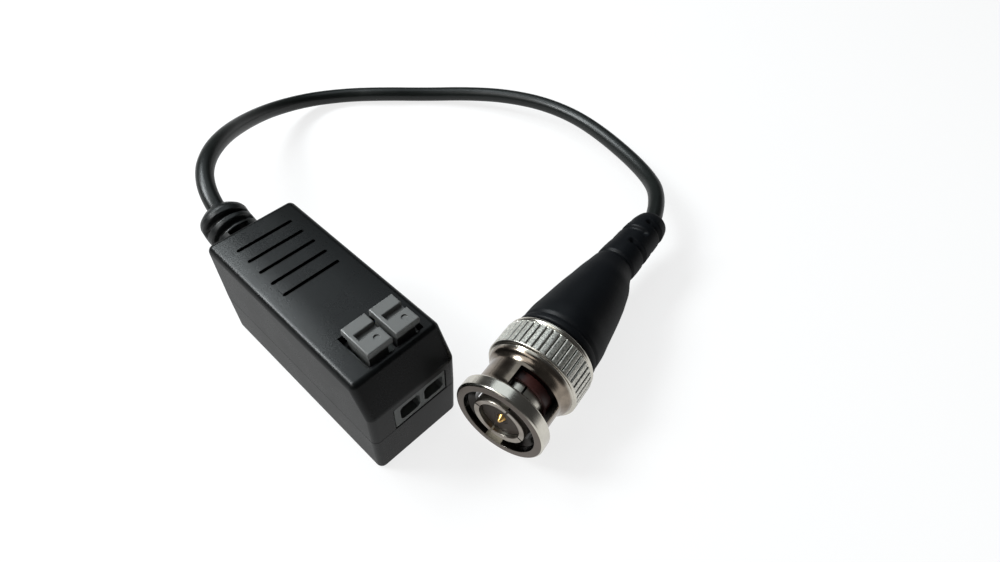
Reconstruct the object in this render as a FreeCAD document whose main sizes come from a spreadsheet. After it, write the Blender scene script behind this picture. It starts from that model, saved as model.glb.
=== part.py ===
import FreeCAD, Part
import Sketcher
import math
import os
import re

# One channel of a passive video balun: a moulded case with a two way push lever terminal at its front, a
# small coaxial cord out of its rear wall, and a bayonet plug on the cord. Millimetres and degrees. +X is the
# case's front, where the wires go in, +Z is up, and the origin is the middle of the case's bottom.

# Driving sizes
drivingSizes = {
    # case
    "caseLength": 37.1, "caseWidth": 14.8, "caseHeight": 18.5, "partingHeight": 7.6,
    "wallThickness": 1.4, "topThickness": 1.5, "floorThickness": 1.4,
    "edgeRadius": 1.0, "footRadius": 0.6, "footInset": 0.12, "slopeRun": 2.9, "slopeDrop": 5.1,
    "grooveFirst": 4.29, "groovePitch": 2.9, "grooveCount": 5, "grooveSpan": 9.4,
    "grooveWidth": 0.6, "grooveDepth": 0.5,
    "tongueThickness": 0.6, "tongueHeight": 0.8, "tongueLength": 28, "fitClearance": 0.1,
    # terminal, two ways side by side
    "terminalShift": 0.85, "wayPitch": 4.6, "terminalWidth": 9.0, "windowWidth": 9.3, "windowHeadroom": 1.2,
    "blockSetback": 10.25, "blockHeadroom": 0.4, "shoulderGap": 0.25, "noseRecess": 0.1, "noseLift": 0.1,
    "leverOpeningGap": 0.4, "leverOpeningShift": 0.72, "leverOpeningWidth": 9.3,
    "wirePitch": 4.2, "wireShift": 0.3, "wireHoleWidth": 3.4, "wireHoleBorder": 0.875,
    "wireHoleCorner": 0.45,
    "wireHoleDepth": 5.6, "pocketFloor": 8.6,
    # push levers
    "leverSetback": 9.75, "leverLength": 5.65, "leverWidth": 3.95, "leverStand": 2.0,
    "leverHeadHeight": 1.1,
    "leverTravel": 1.4, "leverNotchRear": 2.0, "leverNotchLength": 1.1, "leverNotchDepth": 0.8,
    "leverRibWidth": 0.7, "stemInset": 0.4, "stemLength": 4.6, "stemWidth": 3.1, "stemFoot": 12.0,
    "stemClearance": 0.18, "leverEdge": 0.2, "leverSlotWidth": 2.2, "leverSlotHeight": 0.4,
    "leverSlotDepth": 0.6, "dimpleRadius": 0.45, "dimpleDepth": 0.2,
    # clamp springs and contact strips
    "springThickness": 0.25, "springWidth": 2.4, "springRise": 1.5, "stripThickness": 0.45,
    "stripWidth": 2.6, "stripLength": 3.6, "solderPinWidth": 0.8, "solderPinReach": 2.0,
    "solderPinSetback": 2.2,
    # circuit board and what stands on it
    "boardBottom": 6.0, "boardThickness": 1.6, "boardSideGap": 0.3, "boardFrontGap": 0.65,
    "boardRearGap": 2.25,
    "pinHoleGap": 0.15, "solderRadius": 0.95, "solderHeight": 0.8,
    "coreOuterRadius": 4.2, "coreInnerRadius": 2.1, "coreHeight": 3.4, "corePlace": 1.6,
    "windingThickness": 0.4,
    "windingAngle": 138, "carrierThickness": 0.6,
    "filmLength": 2.6, "filmWidth": 6.4, "filmHeight": 6.2, "filmPlace": 7.0, "leadRadius": 0.3,
    "leadStand": 0.8,
    "discRadius": 2.3, "discThickness": 1.8, "arresterRadius": 1.2, "arresterLength": 4.6,
    "chipLength": 2.0, "chipWidth": 1.25, "chipHeight": 0.55, "chipPitch": 2.4, "chipGap": 0.35,
    # cord and its strain relief
    "cordRadius": 1.5, "exitHeight": 9.0, "reliefTilt": 18, "reliefSwing": -3, "reliefTipTilt": 21,
    "reliefTipSwing": 6, "reliefTipPivot": 8.8, "reliefFlangeRadius": 4.3,
    "reliefFlangeThickness": 1.4, "reliefNeckRadius": 3.1, "reliefCollarRadius": 4.3, "reliefCollar": 1.0,
    "reliefRadius": 4.05, "reliefTipRadius": 3.6, "reliefWindowStart": 4.1, "reliefWindowEnd": 6.5,
    "reliefGrooveWidth": 0.8,
    "reliefGrooveDepth": 0.85, "reliefOuterGroove": 8.4, "reliefShoulder": 10.6, "reliefLength": 12.4,
    "reliefMouthRadius": 1.9, "reliefWall": 0.9, "reliefSlotWidth": 3.5,
    "jacketInside": 0.7, "wireRun": 1.1, "coreWireRadius": 0.5, "braidTailRadius": 0.45,
    # bayonet plug, measured from its front rim back along its axis
    "plugX": 27.64, "plugY": 6.61, "plugAzimuth": 99.9, "plugLift": 0.05, "sleeveTurn": 37.5,
    "contactTurn": -27, "contactSlotTurn": 45,
    "rimRadius": 7.2, "rimLength": 2.2, "rimBevel": 0.25, "mouthRadius": 5.85, "sleeveBore": 4.95,
    "mouthDepth": 1.5, "neckRadius": 6.0, "neckEnd": 7.4, "shoulderRadius": 7.0, "knurlRadius": 7.5,
    "knurlStart": 8.5, "knurlEnd": 13.0, "sleeveLength": 13.9, "rearRimRadius": 7.35, "knurlCount": 44,
    "knurlDepth": 0.35, "cavityRadius": 6.3, "cavityStart": 8.8, "lipBore": 4.4, "lipThickness": 1.0,
    "windowStart": 2.3, "windowEnd": 6.3, "windowAngle": 85, "entryWidth": 2.6, "entryRadius": 6.75,
    "entryTurn": -29.5,
    "sleeveTravel": 0.5,
    "contactRadius": 4.2, "contactWall": 0.55, "contactFront": 1.0, "contactEnd": 7.3,
    "contactSlotWidth": 0.4,
    "contactSlotEnd": 5.6, "insulatorFront": 1.6, "insulatorEnd": 10.2, "pinRadius": 0.68, "pinFront": 1.1,
    "pinTaper": 0.9, "pinEnd": 13.0, "gasketLength": 0.7, "bossRadius": 4.0, "bodyRadius": 4.85,
    "flangeRadius": 6.1,
    "flangeStart": 10.6, "flangeEnd": 11.4, "shankRadius": 3.9, "shankEnd": 16.0, "stubRadius": 1.9,
    "stubEnd": 23.5, "stubBore": 0.9, "springWasherHeight": 0.5, "thrustWasherThickness": 0.35,
    "washerBore": 4.1,
    "washerRadius": 6.0, "washerThickness": 0.25, "clipThickness": 0.4, "clipRadius": 4.6,
    "ferruleRadius": 2.9, "ferruleWall": 0.45,
    # moulded boot of the plug
    "bootFront": 14.55, "bootRadius": 6.6, "bootRimRadius": 6.2, "bootBody": 19.5, "bootMidRadius": 5.4,
    "bootMid": 25.5, "bootStep": 32.0, "bootStepRadius": 4.5, "bootNeckRadius": 3.85, "bootTipRadius": 2.8,
    "bootEnd": 48.8, "bootBend": 43.6, "bootSwing": 8, "bootEndRadius": 2.1, "bootEndRound": 1.3,
    "bootGroovePitch": 3.6, "bootGrooveWidth": 0.9,
    "bootGrooveDepth": 0.6, "bootGrooveFirst": 38.4, "bootGap": 0.1,
}

# Sizes that follow from the driving ones
givenSizes = {
    "blockRear": "caseLength / 2 - blockSetback",
    "blockShoulder": "caseLength / 2 - wallThickness - shoulderGap",
    "blockTop": "caseHeight - topThickness - blockHeadroom",
    "leverRear": "caseLength / 2 - leverSetback",
    "leverTop": "caseHeight + leverStand",
    "leverOpeningRear": "leverRear - leverOpeningGap",
    "leverOpeningFront": "leverRear + leverLength + leverOpeningGap",
    "boardFront": "caseLength / 2 - wallThickness - boardFrontGap",
    "boardRear": "caseLength / 2 - wallThickness - boardRearGap",
    "windowTop": "caseHeight - slopeDrop - windowHeadroom",
    "wireHoleLevel": "(boardBottom + boardThickness + windowTop) / 2",
    "wireHoleHeight": "windowTop - boardBottom - boardThickness - 2 * wireHoleBorder",
    "discPlace": "(coreOuterRadius + windingThickness - corePlace + blockRear) / 2",
}

doc = FreeCAD.newDocument("VideoBalun")
sheet = doc.addObject("Spreadsheet::Sheet", "sizes")
for row, (word, size) in enumerate(list(drivingSizes.items()) + list(givenSizes.items()), start=1):
    sheet.set("A%d" % row, word)
    sheet.set("B%d" % row, "=" + size if word in givenSizes else str(size))
    sheet.setAlias("B%d" % row, word)
doc.recompute()
sizeNames = set(drivingSizes) | set(givenSizes)


def bound(text):
    """The same expression, with each size's name pointing at its cell."""
    return re.sub(r"[A-Za-z]\w*", lambda m: "sizes." + m.group() if m.group() in sizeNames else m.group(),
                  text)


def size(text):
    """The number that an expression of sizes gives now."""
    return float(sheet.evalExpression(bound(text)))


def newBody(label):
    body = doc.addObject("PartDesign::Body", label)
    body.Label = label
    return body


def newSketch(body, name, plane, offset=None):
    """A sketch on one of the body's own origin planes, raised along the plane's normal by an expression."""
    sketch = body.newObject("Sketcher::SketchObject", name)
    sketch.AttachmentSupport = [([f for f in body.Origin.OriginFeatures if f.Role == plane][0], "")]
    sketch.MapMode = "FlatFace"
    if offset:
        sketch.setExpression("AttachmentOffset.Base.z", bound(offset))
    return sketch


def addOutline(sketch, corners):
    """A closed run of lines whose corners are bound to expressions of the sizes."""
    first = sketch.GeometryCount
    count = len(corners)
    places = [FreeCAD.Vector(size(x), size(y), 0) for x, y in corners]
    for i in range(count):
        sketch.addGeometry(Part.LineSegment(places[i], places[(i + 1) % count]), False)
    for i in range(count):
        sketch.addConstraint(Sketcher.Constraint("Coincident", first + i, 2, first + (i + 1) % count, 1))
    for i, (x, y) in enumerate(corners):
        for kind, text, now in (("DistanceX", x, places[i].x), ("DistanceY", y, places[i].y)):
            made = sketch.addConstraint(Sketcher.Constraint(kind, -1, 1, first + i, 1, now))
            sketch.setExpression("Constraints[%d]" % made, bound(text))


def addCircle(sketch, x, y, radius):
    """A circle whose centre and radius are bound to expressions of the sizes."""
    made = sketch.addGeometry(Part.Circle(FreeCAD.Vector(size(x), size(y), 0), FreeCAD.Vector(0, 0, 1),
                                          size(radius)), False)
    for kind, text in (("DistanceX", x), ("DistanceY", y)):
        held = sketch.addConstraint(Sketcher.Constraint(kind, -1, 1, made, 3, size(text)))
        sketch.setExpression("Constraints[%d]" % held, bound(text))
    held = sketch.addConstraint(Sketcher.Constraint("Radius", made, size(radius)))
    sketch.setExpression("Constraints[%d]" % held, bound(radius))


def rectangle(x0, x1, y0, y1):
    return [(x0, y0), (x1, y0), (x1, y1), (x0, y1)]


def pad(body, sketch, length, midplane=False, reversed=False):
    feature = body.newObject("PartDesign::Pad", sketch.Name + "Pad")
    feature.Profile = sketch
    feature.Midplane = midplane
    feature.Reversed = reversed
    feature.setExpression("Length", bound(length))
    doc.recompute()
    return feature


def pocket(body, sketch, length, midplane=False, reversed=False):
    """Cuts the sketch out of the body, and stops the script if that takes nothing away."""
    before = body.Shape.Volume
    feature = body.newObject("PartDesign::Pocket", sketch.Name + "Pocket")
    feature.Profile = sketch
    feature.Midplane = midplane
    feature.Reversed = reversed
    feature.setExpression("Length", bound(length))
    doc.recompute()
    if feature.Shape.Volume >= before - 1e-6:
        raise RuntimeError(sketch.Name + " cuts nothing")
    return feature


def revolve(body, sketch):
    """Turns the sketch about its own upright axis."""
    feature = body.newObject("PartDesign::Revolution", sketch.Name + "Turned")
    feature.Profile = sketch
    feature.ReferenceAxis = (sketch, ["V_Axis"])
    feature.Angle = 360
    doc.recompute()
    return feature


def roundEdges(body, feature, radius, chosen):
    """Fillets the feature's open edges for which chosen(start, end) is true."""
    names = []
    for index, edge in enumerate(feature.Shape.Edges, start=1):
        if len(edge.Vertexes) == 2 and chosen(edge.Vertexes[0].Point, edge.Vertexes[1].Point):
            names.append("Edge%d" % index)
    fillet = body.newObject("PartDesign::Fillet", feature.Name + "Rounded")
    fillet.Base = (feature, names)
    fillet.setExpression("Radius", bound(radius))
    doc.recompute()
    return fillet


def pattern(body, kind, features, count, **settings):
    """Repeats features of the body. The pattern counts once it is the body's tip."""
    feature = body.newObject("PartDesign::" + kind, features[0].Name + "Repeated")
    feature.Originals = features
    for name, value in settings.items():
        setattr(feature, name, value)
    feature.setExpression("Occurrences", bound(count))
    body.Tip = feature
    doc.recompute()
    return feature


def originAxis(body, role):
    return ([f for f in body.Origin.OriginFeatures if f.Role == role][0], [""])


def near(a, b):
    return abs(a - b) < 1e-4


def caseFrontSlope(height):
    """Where the outside of the sloped front lies at a height, as an expression."""
    return "(caseLength / 2 - slopeRun + (caseHeight - (%s)) * slopeRun / slopeDrop)" % height


# Top shell: five sided side profile, rounded outside edges, hollow from below
slopeShift = "(wallThickness * sqrt(slopeRun * slopeRun + slopeDrop * slopeDrop) / slopeDrop)"
innerFront = "(caseLength / 2 - wallThickness)"
innerRear = "(-caseLength / 2 + wallThickness)"
innerTop = "(caseHeight - topThickness)"
topShell = newBody("top_shell")
profile = newSketch(topShell, "topProfile", "XZ_Plane")
addOutline(profile, [
    ("-caseLength / 2", "partingHeight"), ("caseLength / 2", "partingHeight"),
    ("caseLength / 2", "caseHeight - slopeDrop"), ("caseLength / 2 - slopeRun", "caseHeight"),
    ("-caseLength / 2", "caseHeight")])
topBlock = pad(topShell, profile, "caseWidth", midplane=True)
partingLevel = size("partingHeight")
topBlock = roundEdges(topShell, topBlock, "edgeRadius",
                      lambda a, b: not (near(a.z, partingLevel) and near(b.z, partingLevel)))
hollow = newSketch(topShell, "topHollow", "XZ_Plane")
addOutline(hollow, [
    (innerRear, "partingHeight - 1"), (innerFront, "partingHeight - 1"),
    (innerFront, "caseHeight - slopeDrop - (%s - wallThickness) * slopeDrop / slopeRun" % slopeShift),
    ("%s - %s" % (caseFrontSlope(innerTop), slopeShift), innerTop), (innerRear, innerTop)])
pocket(topShell, hollow, "caseWidth - 2 * wallThickness", midplane=True)
boardTop = "(boardBottom + boardThickness)"
holdDown = newSketch(topShell, "holdDownPosts", "XY_Plane", boardTop)
for side in ("-", ""):
    addOutline(holdDown, rectangle(innerRear + " + 2.4", innerRear + " + 3.4",
                                   side + "(caseWidth / 2 - wallThickness - 1.6)",
                                   side + "(caseWidth / 2 - wallThickness / 2)"))
pad(topShell, holdDown, "caseHeight - topThickness / 2 - %s" % boardTop)
leverOpening = newSketch(topShell, "leverOpening", "XY_Plane", "caseHeight + 1")
addOutline(leverOpening, rectangle("leverOpeningRear", "leverOpeningFront",
                                   "leverOpeningShift - leverOpeningWidth / 2",
                                   "leverOpeningShift + leverOpeningWidth / 2"))
pocket(topShell, leverOpening, "topThickness + 1.1")
window = newSketch(topShell, "wireWindow", "YZ_Plane", "caseLength / 2 + 1")
addOutline(window, rectangle("terminalShift - windowWidth / 2", "terminalShift + windowWidth / 2",
                             "partingHeight - 1", "windowTop"))
pocket(topShell, window, "wallThickness + 1.2")
rearHole = newSketch(topShell, "topRearHole", "YZ_Plane", "-caseLength / 2 + wallThickness + 0.1")
addCircle(rearHole, "0", "exitHeight", "reliefNeckRadius + fitClearance")
pocket(topShell, rearHole, "wallThickness + 1")
recess = newSketch(topShell, "tongueRecess", "XY_Plane", "partingHeight - 0.5")
for side in ("-", ""):
    addOutline(recess, rectangle("-tongueLength / 2 - fitClearance", "tongueLength / 2 + fitClearance",
                                 side + "(caseWidth / 2 - wallThickness - 0.2)",
                                 side + "(caseWidth / 2 - wallThickness + tongueThickness + fitClearance)"))
pocket(topShell, recess, "tongueHeight + fitClearance + 0.5", reversed=True)
groove = newSketch(topShell, "topGroove", "XY_Plane", "caseHeight + 0.5")
grooveX = size("-caseLength / 2 + grooveFirst")
grooveEnd = size("(grooveSpan - grooveWidth) / 2")
grooveHalf = size("grooveWidth / 2")
groove.addGeometry(Part.ArcOfCircle(Part.Circle(FreeCAD.Vector(grooveX, grooveEnd, 0),
                                                FreeCAD.Vector(0, 0, 1),
                                                grooveHalf), 0, math.pi), False)
groove.addGeometry(Part.ArcOfCircle(Part.Circle(FreeCAD.Vector(grooveX, -grooveEnd, 0),
                                                FreeCAD.Vector(0, 0, 1),
                                                grooveHalf), math.pi, 2 * math.pi), False)
groove.addGeometry(Part.LineSegment(FreeCAD.Vector(grooveX + grooveHalf, -grooveEnd, 0),
                                    FreeCAD.Vector(grooveX + grooveHalf, grooveEnd, 0)), False)
groove.addGeometry(Part.LineSegment(FreeCAD.Vector(grooveX - grooveHalf, grooveEnd, 0),
                                    FreeCAD.Vector(grooveX - grooveHalf, -grooveEnd, 0)), False)
for joined in ((0, 1, 2, 2), (0, 2, 3, 1), (1, 1, 3, 2), (1, 2, 2, 1)):
    groove.addConstraint(Sketcher.Constraint("Tangent", *joined))
for arc, text in ((0, "(grooveSpan - grooveWidth) / 2"), (1, "-(grooveSpan - grooveWidth) / 2")):
    for kind, place in (("DistanceX", "-caseLength / 2 + grooveFirst"), ("DistanceY", text)):
        held = groove.addConstraint(Sketcher.Constraint(kind, -1, 1, arc, 3, size(place)))
        groove.setExpression("Constraints[%d]" % held, bound(place))
held = groove.addConstraint(Sketcher.Constraint("Radius", 0, grooveHalf))
groove.setExpression("Constraints[%d]" % held, bound("grooveWidth / 2"))
grooveCut = pocket(topShell, groove, "grooveDepth + 0.5")
grooveRow = pattern(topShell, "LinearPattern", [grooveCut], "grooveCount",
                    Direction=originAxis(topShell, "X_Axis"),
                    Length=size("groovePitch * (grooveCount - 1)"))

# Bottom shell: tray with tongues that locate the top shell and posts that carry the board
bottomShell = newBody("bottom_shell")
tray = newSketch(bottomShell, "trayOutline", "XY_Plane")
addOutline(tray, rectangle("-caseLength / 2 + footInset", "caseLength / 2 - footInset",
                           "-caseWidth / 2 + footInset",
                           "caseWidth / 2 - footInset"))
trayBlock = pad(bottomShell, tray, "partingHeight")
trayBlock.setExpression("TaperAngle", bound("atan(footInset / partingHeight)"))
doc.recompute()
trayBlock = roundEdges(bottomShell, trayBlock, "edgeRadius", lambda a, b: not near(a.z, b.z))
trayFeet = bottomShell.newObject("PartDesign::Fillet", "trayFoot")
trayFeet.Base = (trayBlock, ["Edge%d" % (i + 1) for i, e in enumerate(trayBlock.Shape.Edges)
                             if all(near(v.Point.z, 0) for v in e.Vertexes)])
trayFeet.setExpression("Radius", bound("footRadius"))
doc.recompute()
trayHollow = newSketch(bottomShell, "trayHollow", "XY_Plane", "partingHeight + 1")
innerSide = "(caseWidth / 2 - wallThickness)"
addOutline(trayHollow, rectangle(innerRear, innerFront, "-" + innerSide, innerSide))
pocket(bottomShell, trayHollow, "partingHeight + 1 - floorThickness")
tongues = newSketch(bottomShell, "tongues", "XY_Plane", "partingHeight - 1")
posts = newSketch(bottomShell, "boardPosts", "XY_Plane", "floorThickness - 0.5")
for side in ("-", ""):
    addOutline(tongues, rectangle("-tongueLength / 2", "tongueLength / 2", side + innerSide,
                                  side + "(caseWidth / 2 - wallThickness + tongueThickness)"))
    for end in ("(boardFront - 3.2)", "(-boardRear + 1.2)"):
        addOutline(posts, rectangle(end, end + " + 2", side + "(caseWidth / 2 - wallThickness - 2)",
                                    side + "(caseWidth / 2 - wallThickness / 2)"))
pad(bottomShell, tongues, "1 + tongueHeight")
pad(bottomShell, posts, "boardBottom - floorThickness + 0.5")
trayRear = newSketch(bottomShell, "trayRearHole", "YZ_Plane", "-caseLength / 2 + wallThickness + 0.1")
addCircle(trayRear, "0", "exitHeight", "reliefNeckRadius + fitClearance")
pocket(bottomShell, trayRear, "wallThickness + 1")

# Circuit board, drilled for the terminal's two pins and the cord's two wires
wayPlaces = {"left": "(terminalShift - wayPitch / 2)", "right": "(terminalShift + wayPitch / 2)"}
pinPlace = "(leverRear + stemInset + solderPinSetback)"
cordPads = {"core": ("(-boardRear + 2.6)", "1.3"), "braid": ("(-boardRear + 2.6)", "-1.3")}
board = newBody("circuit_board")
boardOutline = newSketch(board, "boardOutline", "XY_Plane", "boardBottom")
boardSide = "(caseWidth / 2 - wallThickness - boardSideGap)"
addOutline(boardOutline, rectangle("-boardRear", "boardFront", "-" + boardSide, boardSide))
pad(board, boardOutline, "boardThickness")
drilled = newSketch(board, "pinHoles", "XY_Plane", boardTop + " + 0.5")
for place in wayPlaces.values():
    addCircle(drilled, pinPlace, place, "solderPinWidth * 0.7072 + pinHoleGap")
for x, y in cordPads.values():
    addCircle(drilled, x, y, "coreWireRadius + pinHoleGap")
pocket(board, drilled, "boardThickness + 1")

# Terminal block: grey moulding with two lever pockets from above and two wire holes from the front
block = newBody("terminal_block")
blockProfile = newSketch(block, "blockProfile", "XZ_Plane")
noseFront = "(caseLength / 2 - noseRecess)"
addOutline(blockProfile, [
    ("blockRear", boardTop), ("blockShoulder", boardTop), ("blockShoulder", boardTop + " + noseLift"),
    (noseFront, boardTop + " + noseLift"), (noseFront, "windowTop - 0.2"),
    ("blockShoulder", "windowTop - 0.2"),
    ("blockShoulder", "windowTop + 0.7"),
    ("%s - %s - 0.3" % (caseFrontSlope("blockTop"), slopeShift), "blockTop"), ("blockRear", "blockTop")])
pad(block, blockProfile, "terminalWidth", midplane=True)
pockets = newSketch(block, "leverPockets", "XY_Plane", "blockTop + 0.5")
wireHoles = newSketch(block, "wireHoles", "YZ_Plane", noseFront + " + 0.5")
pinSlots = newSketch(block, "pinSlots", "XY_Plane", "pocketFloor + 0.5")
stemRear = "(leverRear + stemInset - stemClearance)"
stemFront = "(leverRear + stemInset + stemLength + stemClearance)"
for side in ("-", ""):
    middle = "(%swayPitch / 2)" % side
    addOutline(pockets, rectangle(stemRear, stemFront, middle + " - stemWidth / 2 - stemClearance",
                                  middle + " + stemWidth / 2 + stemClearance"))
    low, high = "(wireHoleLevel - wireHoleHeight / 2)", "(wireHoleLevel + wireHoleHeight / 2)"
    left = "(wireShift %s wirePitch / 2 - wireHoleWidth / 2)" % (side or "+")
    right = "(wireShift %s wirePitch / 2 + wireHoleWidth / 2)" % (side or "+")
    addOutline(wireHoles, [
        (left, low + " + wireHoleCorner"), (left + " + wireHoleCorner", low),
        (right + " - wireHoleCorner", low),
        (right, low + " + wireHoleCorner"), (right, high + " - wireHoleCorner"),
        (right + " - wireHoleCorner", high), (left + " + wireHoleCorner", high),
        (left, high + " - wireHoleCorner")])
    addOutline(pinSlots, rectangle(pinPlace + " - solderPinWidth / 2 - pinHoleGap",
                                   pinPlace + " + solderPinWidth / 2 + pinHoleGap",
                                   middle + " - solderPinWidth / 2 - pinHoleGap",
                                   middle + " + solderPinWidth / 2 + pinHoleGap"))
pocket(block, pockets, "blockTop + 0.5 - pocketFloor")
pocket(block, wireHoles, "wireHoleDepth + 0.5")
pocket(block, pinSlots, "2")
block.Placement = FreeCAD.Placement(FreeCAD.Vector(0, size("terminalShift"), 0), FreeCAD.Rotation())

# Push levers: a head with a driver notch that leaves a rib on its left, on a stem in the block's pocket
for way, place in wayPlaces.items():
    lever = newBody("push_lever_" + way)
    head = newSketch(lever, way + "LeverHead", "XY_Plane", "leverTop - leverHeadHeight")
    addOutline(head, rectangle("leverRear", "leverRear + leverLength", "-leverWidth / 2", "leverWidth / 2"))
    headBlock = pad(lever, head, "leverHeadHeight")
    notch = newSketch(lever, way + "LeverNotch", "XY_Plane", "leverTop + 0.5")
    addOutline(notch, rectangle("leverRear + leverNotchRear",
                                "leverRear + leverNotchRear + leverNotchLength",
                                "-leverWidth / 2 + leverRibWidth", "leverWidth / 2 + 1"))
    notched = pocket(lever, notch, "leverNotchDepth + 0.5")
    topLevel = size("leverTop")
    roundEdges(lever, notched, "leverEdge", lambda a, b: near(a.z, topLevel) and near(b.z, topLevel))
    dimple = newSketch(lever, way + "LeverDimple", "XY_Plane", "leverTop + 0.5")
    addCircle(dimple, "leverRear + leverNotchRear + leverNotchLength + 1.15", "0.6", "dimpleRadius")
    pocket(lever, dimple, "dimpleDepth + 0.5")
    stem = newSketch(lever, way + "LeverStem", "XY_Plane", "stemFoot")
    addOutline(stem, rectangle("leverRear + stemInset", "leverRear + stemInset + stemLength",
                               "-stemWidth / 2",
                               "stemWidth / 2"))
    pad(lever, stem, "leverTop - leverHeadHeight - stemFoot + 0.2")
    slot = newSketch(lever, way + "LeverSlot", "XY_Plane", "leverTop - leverHeadHeight")
    addOutline(slot, rectangle("leverRear + stemInset + stemLength - leverSlotDepth",
                               "leverRear + leverLength + 1",
                               "-leverSlotWidth / 2", "leverSlotWidth / 2"))
    pocket(lever, slot, "leverSlotHeight")
    lever.Placement = FreeCAD.Placement(FreeCAD.Vector(0, size(place), 0), FreeCAD.Rotation())

# Contact strips with their solder pins, and the bent clamp springs that stand on them
stripTop = "(pocketFloor + stripThickness)"
for way, place in wayPlaces.items():
    strip = newBody("contact_strip_" + way)
    flat = newSketch(strip, way + "StripFlat", "XY_Plane", "pocketFloor")
    addOutline(flat, rectangle("leverRear + stemInset", "leverRear + stemInset + stripLength",
                               "-stripWidth / 2",
                               "stripWidth / 2"))
    pad(strip, flat, "stripThickness")
    pin = newSketch(strip, way + "StripPin", "XY_Plane", "boardBottom - solderPinReach")
    addOutline(pin, rectangle(pinPlace + " - solderPinWidth / 2", pinPlace + " + solderPinWidth / 2",
                              "-solderPinWidth / 2", "solderPinWidth / 2"))
    pad(strip, pin, "pocketFloor + 0.2 - boardBottom + solderPinReach")
    strip.Placement = FreeCAD.Placement(FreeCAD.Vector(0, size(place), 0), FreeCAD.Rotation())
    spring = newBody("clamp_spring_" + way)
    leaf = newSketch(spring, way + "SpringLeaf", "XZ_Plane")
    foot, crest = "(leverRear + stemInset + 0.1)", "(leverRear + stemInset + 0.6)"
    tip = "(leverRear + stemInset + stripLength - 0.4)"
    addOutline(leaf, [
        (foot, stripTop), (tip, stripTop), (tip, stripTop + " + springThickness"),
        (foot + " + 1", stripTop + " + springThickness"),
        (crest + " + springThickness", stripTop + " + springRise - springThickness"),
        (tip + " - 0.4", stripTop + " + 0.7"), (tip + " - 0.3", stripTop + " + 0.7 + springThickness"),
        (crest, stripTop + " + springRise"), (foot, stripTop + " + springRise - 0.3")])
    pad(spring, leaf, "springWidth", midplane=True)
    spring.Placement = FreeCAD.Placement(FreeCAD.Vector(0, size(place), 0), FreeCAD.Rotation())

# What stands on the board: a ring core with two windings, capacitors, a surge arrester and chip resistors
corePlace = ("(-corePlace)", "0")
carrierTop = "(%s + carrierThickness)" % boardTop


def ringBody(label, inner, outer, low, high, place, angle=None, turn=0):
    """A ring of square section about an upright axis, whole or over an angle."""
    ring = newBody(label)
    section = newSketch(ring, label.replace("_", "") + "Section", "XZ_Plane")
    addOutline(section, rectangle(inner, outer, low, high))
    turned = revolve(ring, section)
    if angle:
        turned.setExpression("Angle", bound(angle))
        doc.recompute()
    ring.Placement = FreeCAD.Placement(FreeCAD.Vector(size(place[0]), size(place[1]), 0),
                                       FreeCAD.Rotation(FreeCAD.Vector(0, 0, 1), turn))
    return ring


coreLow, coreHigh = carrierTop + " + windingThickness", carrierTop + " + windingThickness + coreHeight"
ringBody("core_carrier", "coreInnerRadius - 0.6", "coreOuterRadius + windingThickness", boardTop,
         carrierTop, corePlace)
ringBody("balun_core", "coreInnerRadius", "coreOuterRadius", coreLow, coreHigh, corePlace)
for label, turn in (("line_winding", 20), ("camera_winding", 200)):
    winding = newBody(label)
    around = newSketch(winding, label.replace("_", "") + "Section", "XZ_Plane")
    addOutline(around, rectangle("coreInnerRadius - windingThickness", "coreOuterRadius + windingThickness",
                                 carrierTop, coreHigh + " + windingThickness"))
    addOutline(around, rectangle("coreInnerRadius", "coreOuterRadius", coreLow, coreHigh))
    wound = revolve(winding, around)
    wound.setExpression("Angle", bound("windingAngle"))
    doc.recompute()
    winding.Placement = FreeCAD.Placement(FreeCAD.Vector(size(corePlace[0]), 0, 0),
                                          FreeCAD.Rotation(FreeCAD.Vector(0, 0, 1), turn))


def solid(kind, label, place, turn=None, **sizes):
    """A primitive whose sizes and place are bound to expressions of the sizes."""
    made = doc.addObject("Part::" + kind, label)
    made.Label = label
    if turn:
        made.Placement = FreeCAD.Placement(FreeCAD.Vector(),
                                           FreeCAD.Rotation(FreeCAD.Vector(*turn[0]), turn[1]))
    for axis, text in zip("xyz", place):
        made.setExpression("Placement.Base." + axis, bound(text))
    for name, text in sizes.items():
        made.setExpression(name, bound(text))
    return made


def joined(label, pieces):
    whole = doc.addObject("Part::MultiFuse", label)
    whole.Label = label
    whole.Shapes = pieces
    return whole


def group(label, pieces):
    """Like pieces that stay separate solids and share one node."""
    whole = doc.addObject("Part::Compound", label)
    whole.Label = label
    whole.Links = pieces
    return whole


bodyFoot = "(%s + leadStand)" % boardTop
film = solid("Box", "filmBody", ("-filmPlace - filmLength", "-filmWidth / 2", bodyFoot),
             Length="filmLength", Width="filmWidth", Height="filmHeight")
filmLeads = [solid("Cylinder", "filmLead" + side, ("-filmPlace - filmLength / 2",
                                                   sign + "(filmWidth / 2 - 1)",
                                                   boardTop), Radius="leadRadius", Height="leadStand + 0.5")
             for side, sign in (("Left", "-"), ("Right", ""))]
joined("film_capacitor", [film] + filmLeads)
disc = solid("Cylinder", "discBody", ("discPlace - discThickness / 2", "2.6", bodyFoot + " + discRadius"),
             turn=((0, 1, 0), 90), Radius="discRadius", Height="discThickness")
discLeads = [solid("Cylinder", "discLead" + side, ("discPlace", "2.6 %s" % step, boardTop),
                   Radius="leadRadius",
                   Height="leadStand + 1") for side, step in (("Left", "- 1.2"), ("Right", "+ 1.2"))]
joined("disc_capacitor", [disc] + discLeads)
arresterAxis = boardTop + " + arresterRadius + 0.05"
arrester = solid("Cylinder", "arresterBody", ("discPlace", "-0.6", arresterAxis),
                 turn=((1, 0, 0), 90), Radius="arresterRadius", Height="arresterLength")
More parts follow.
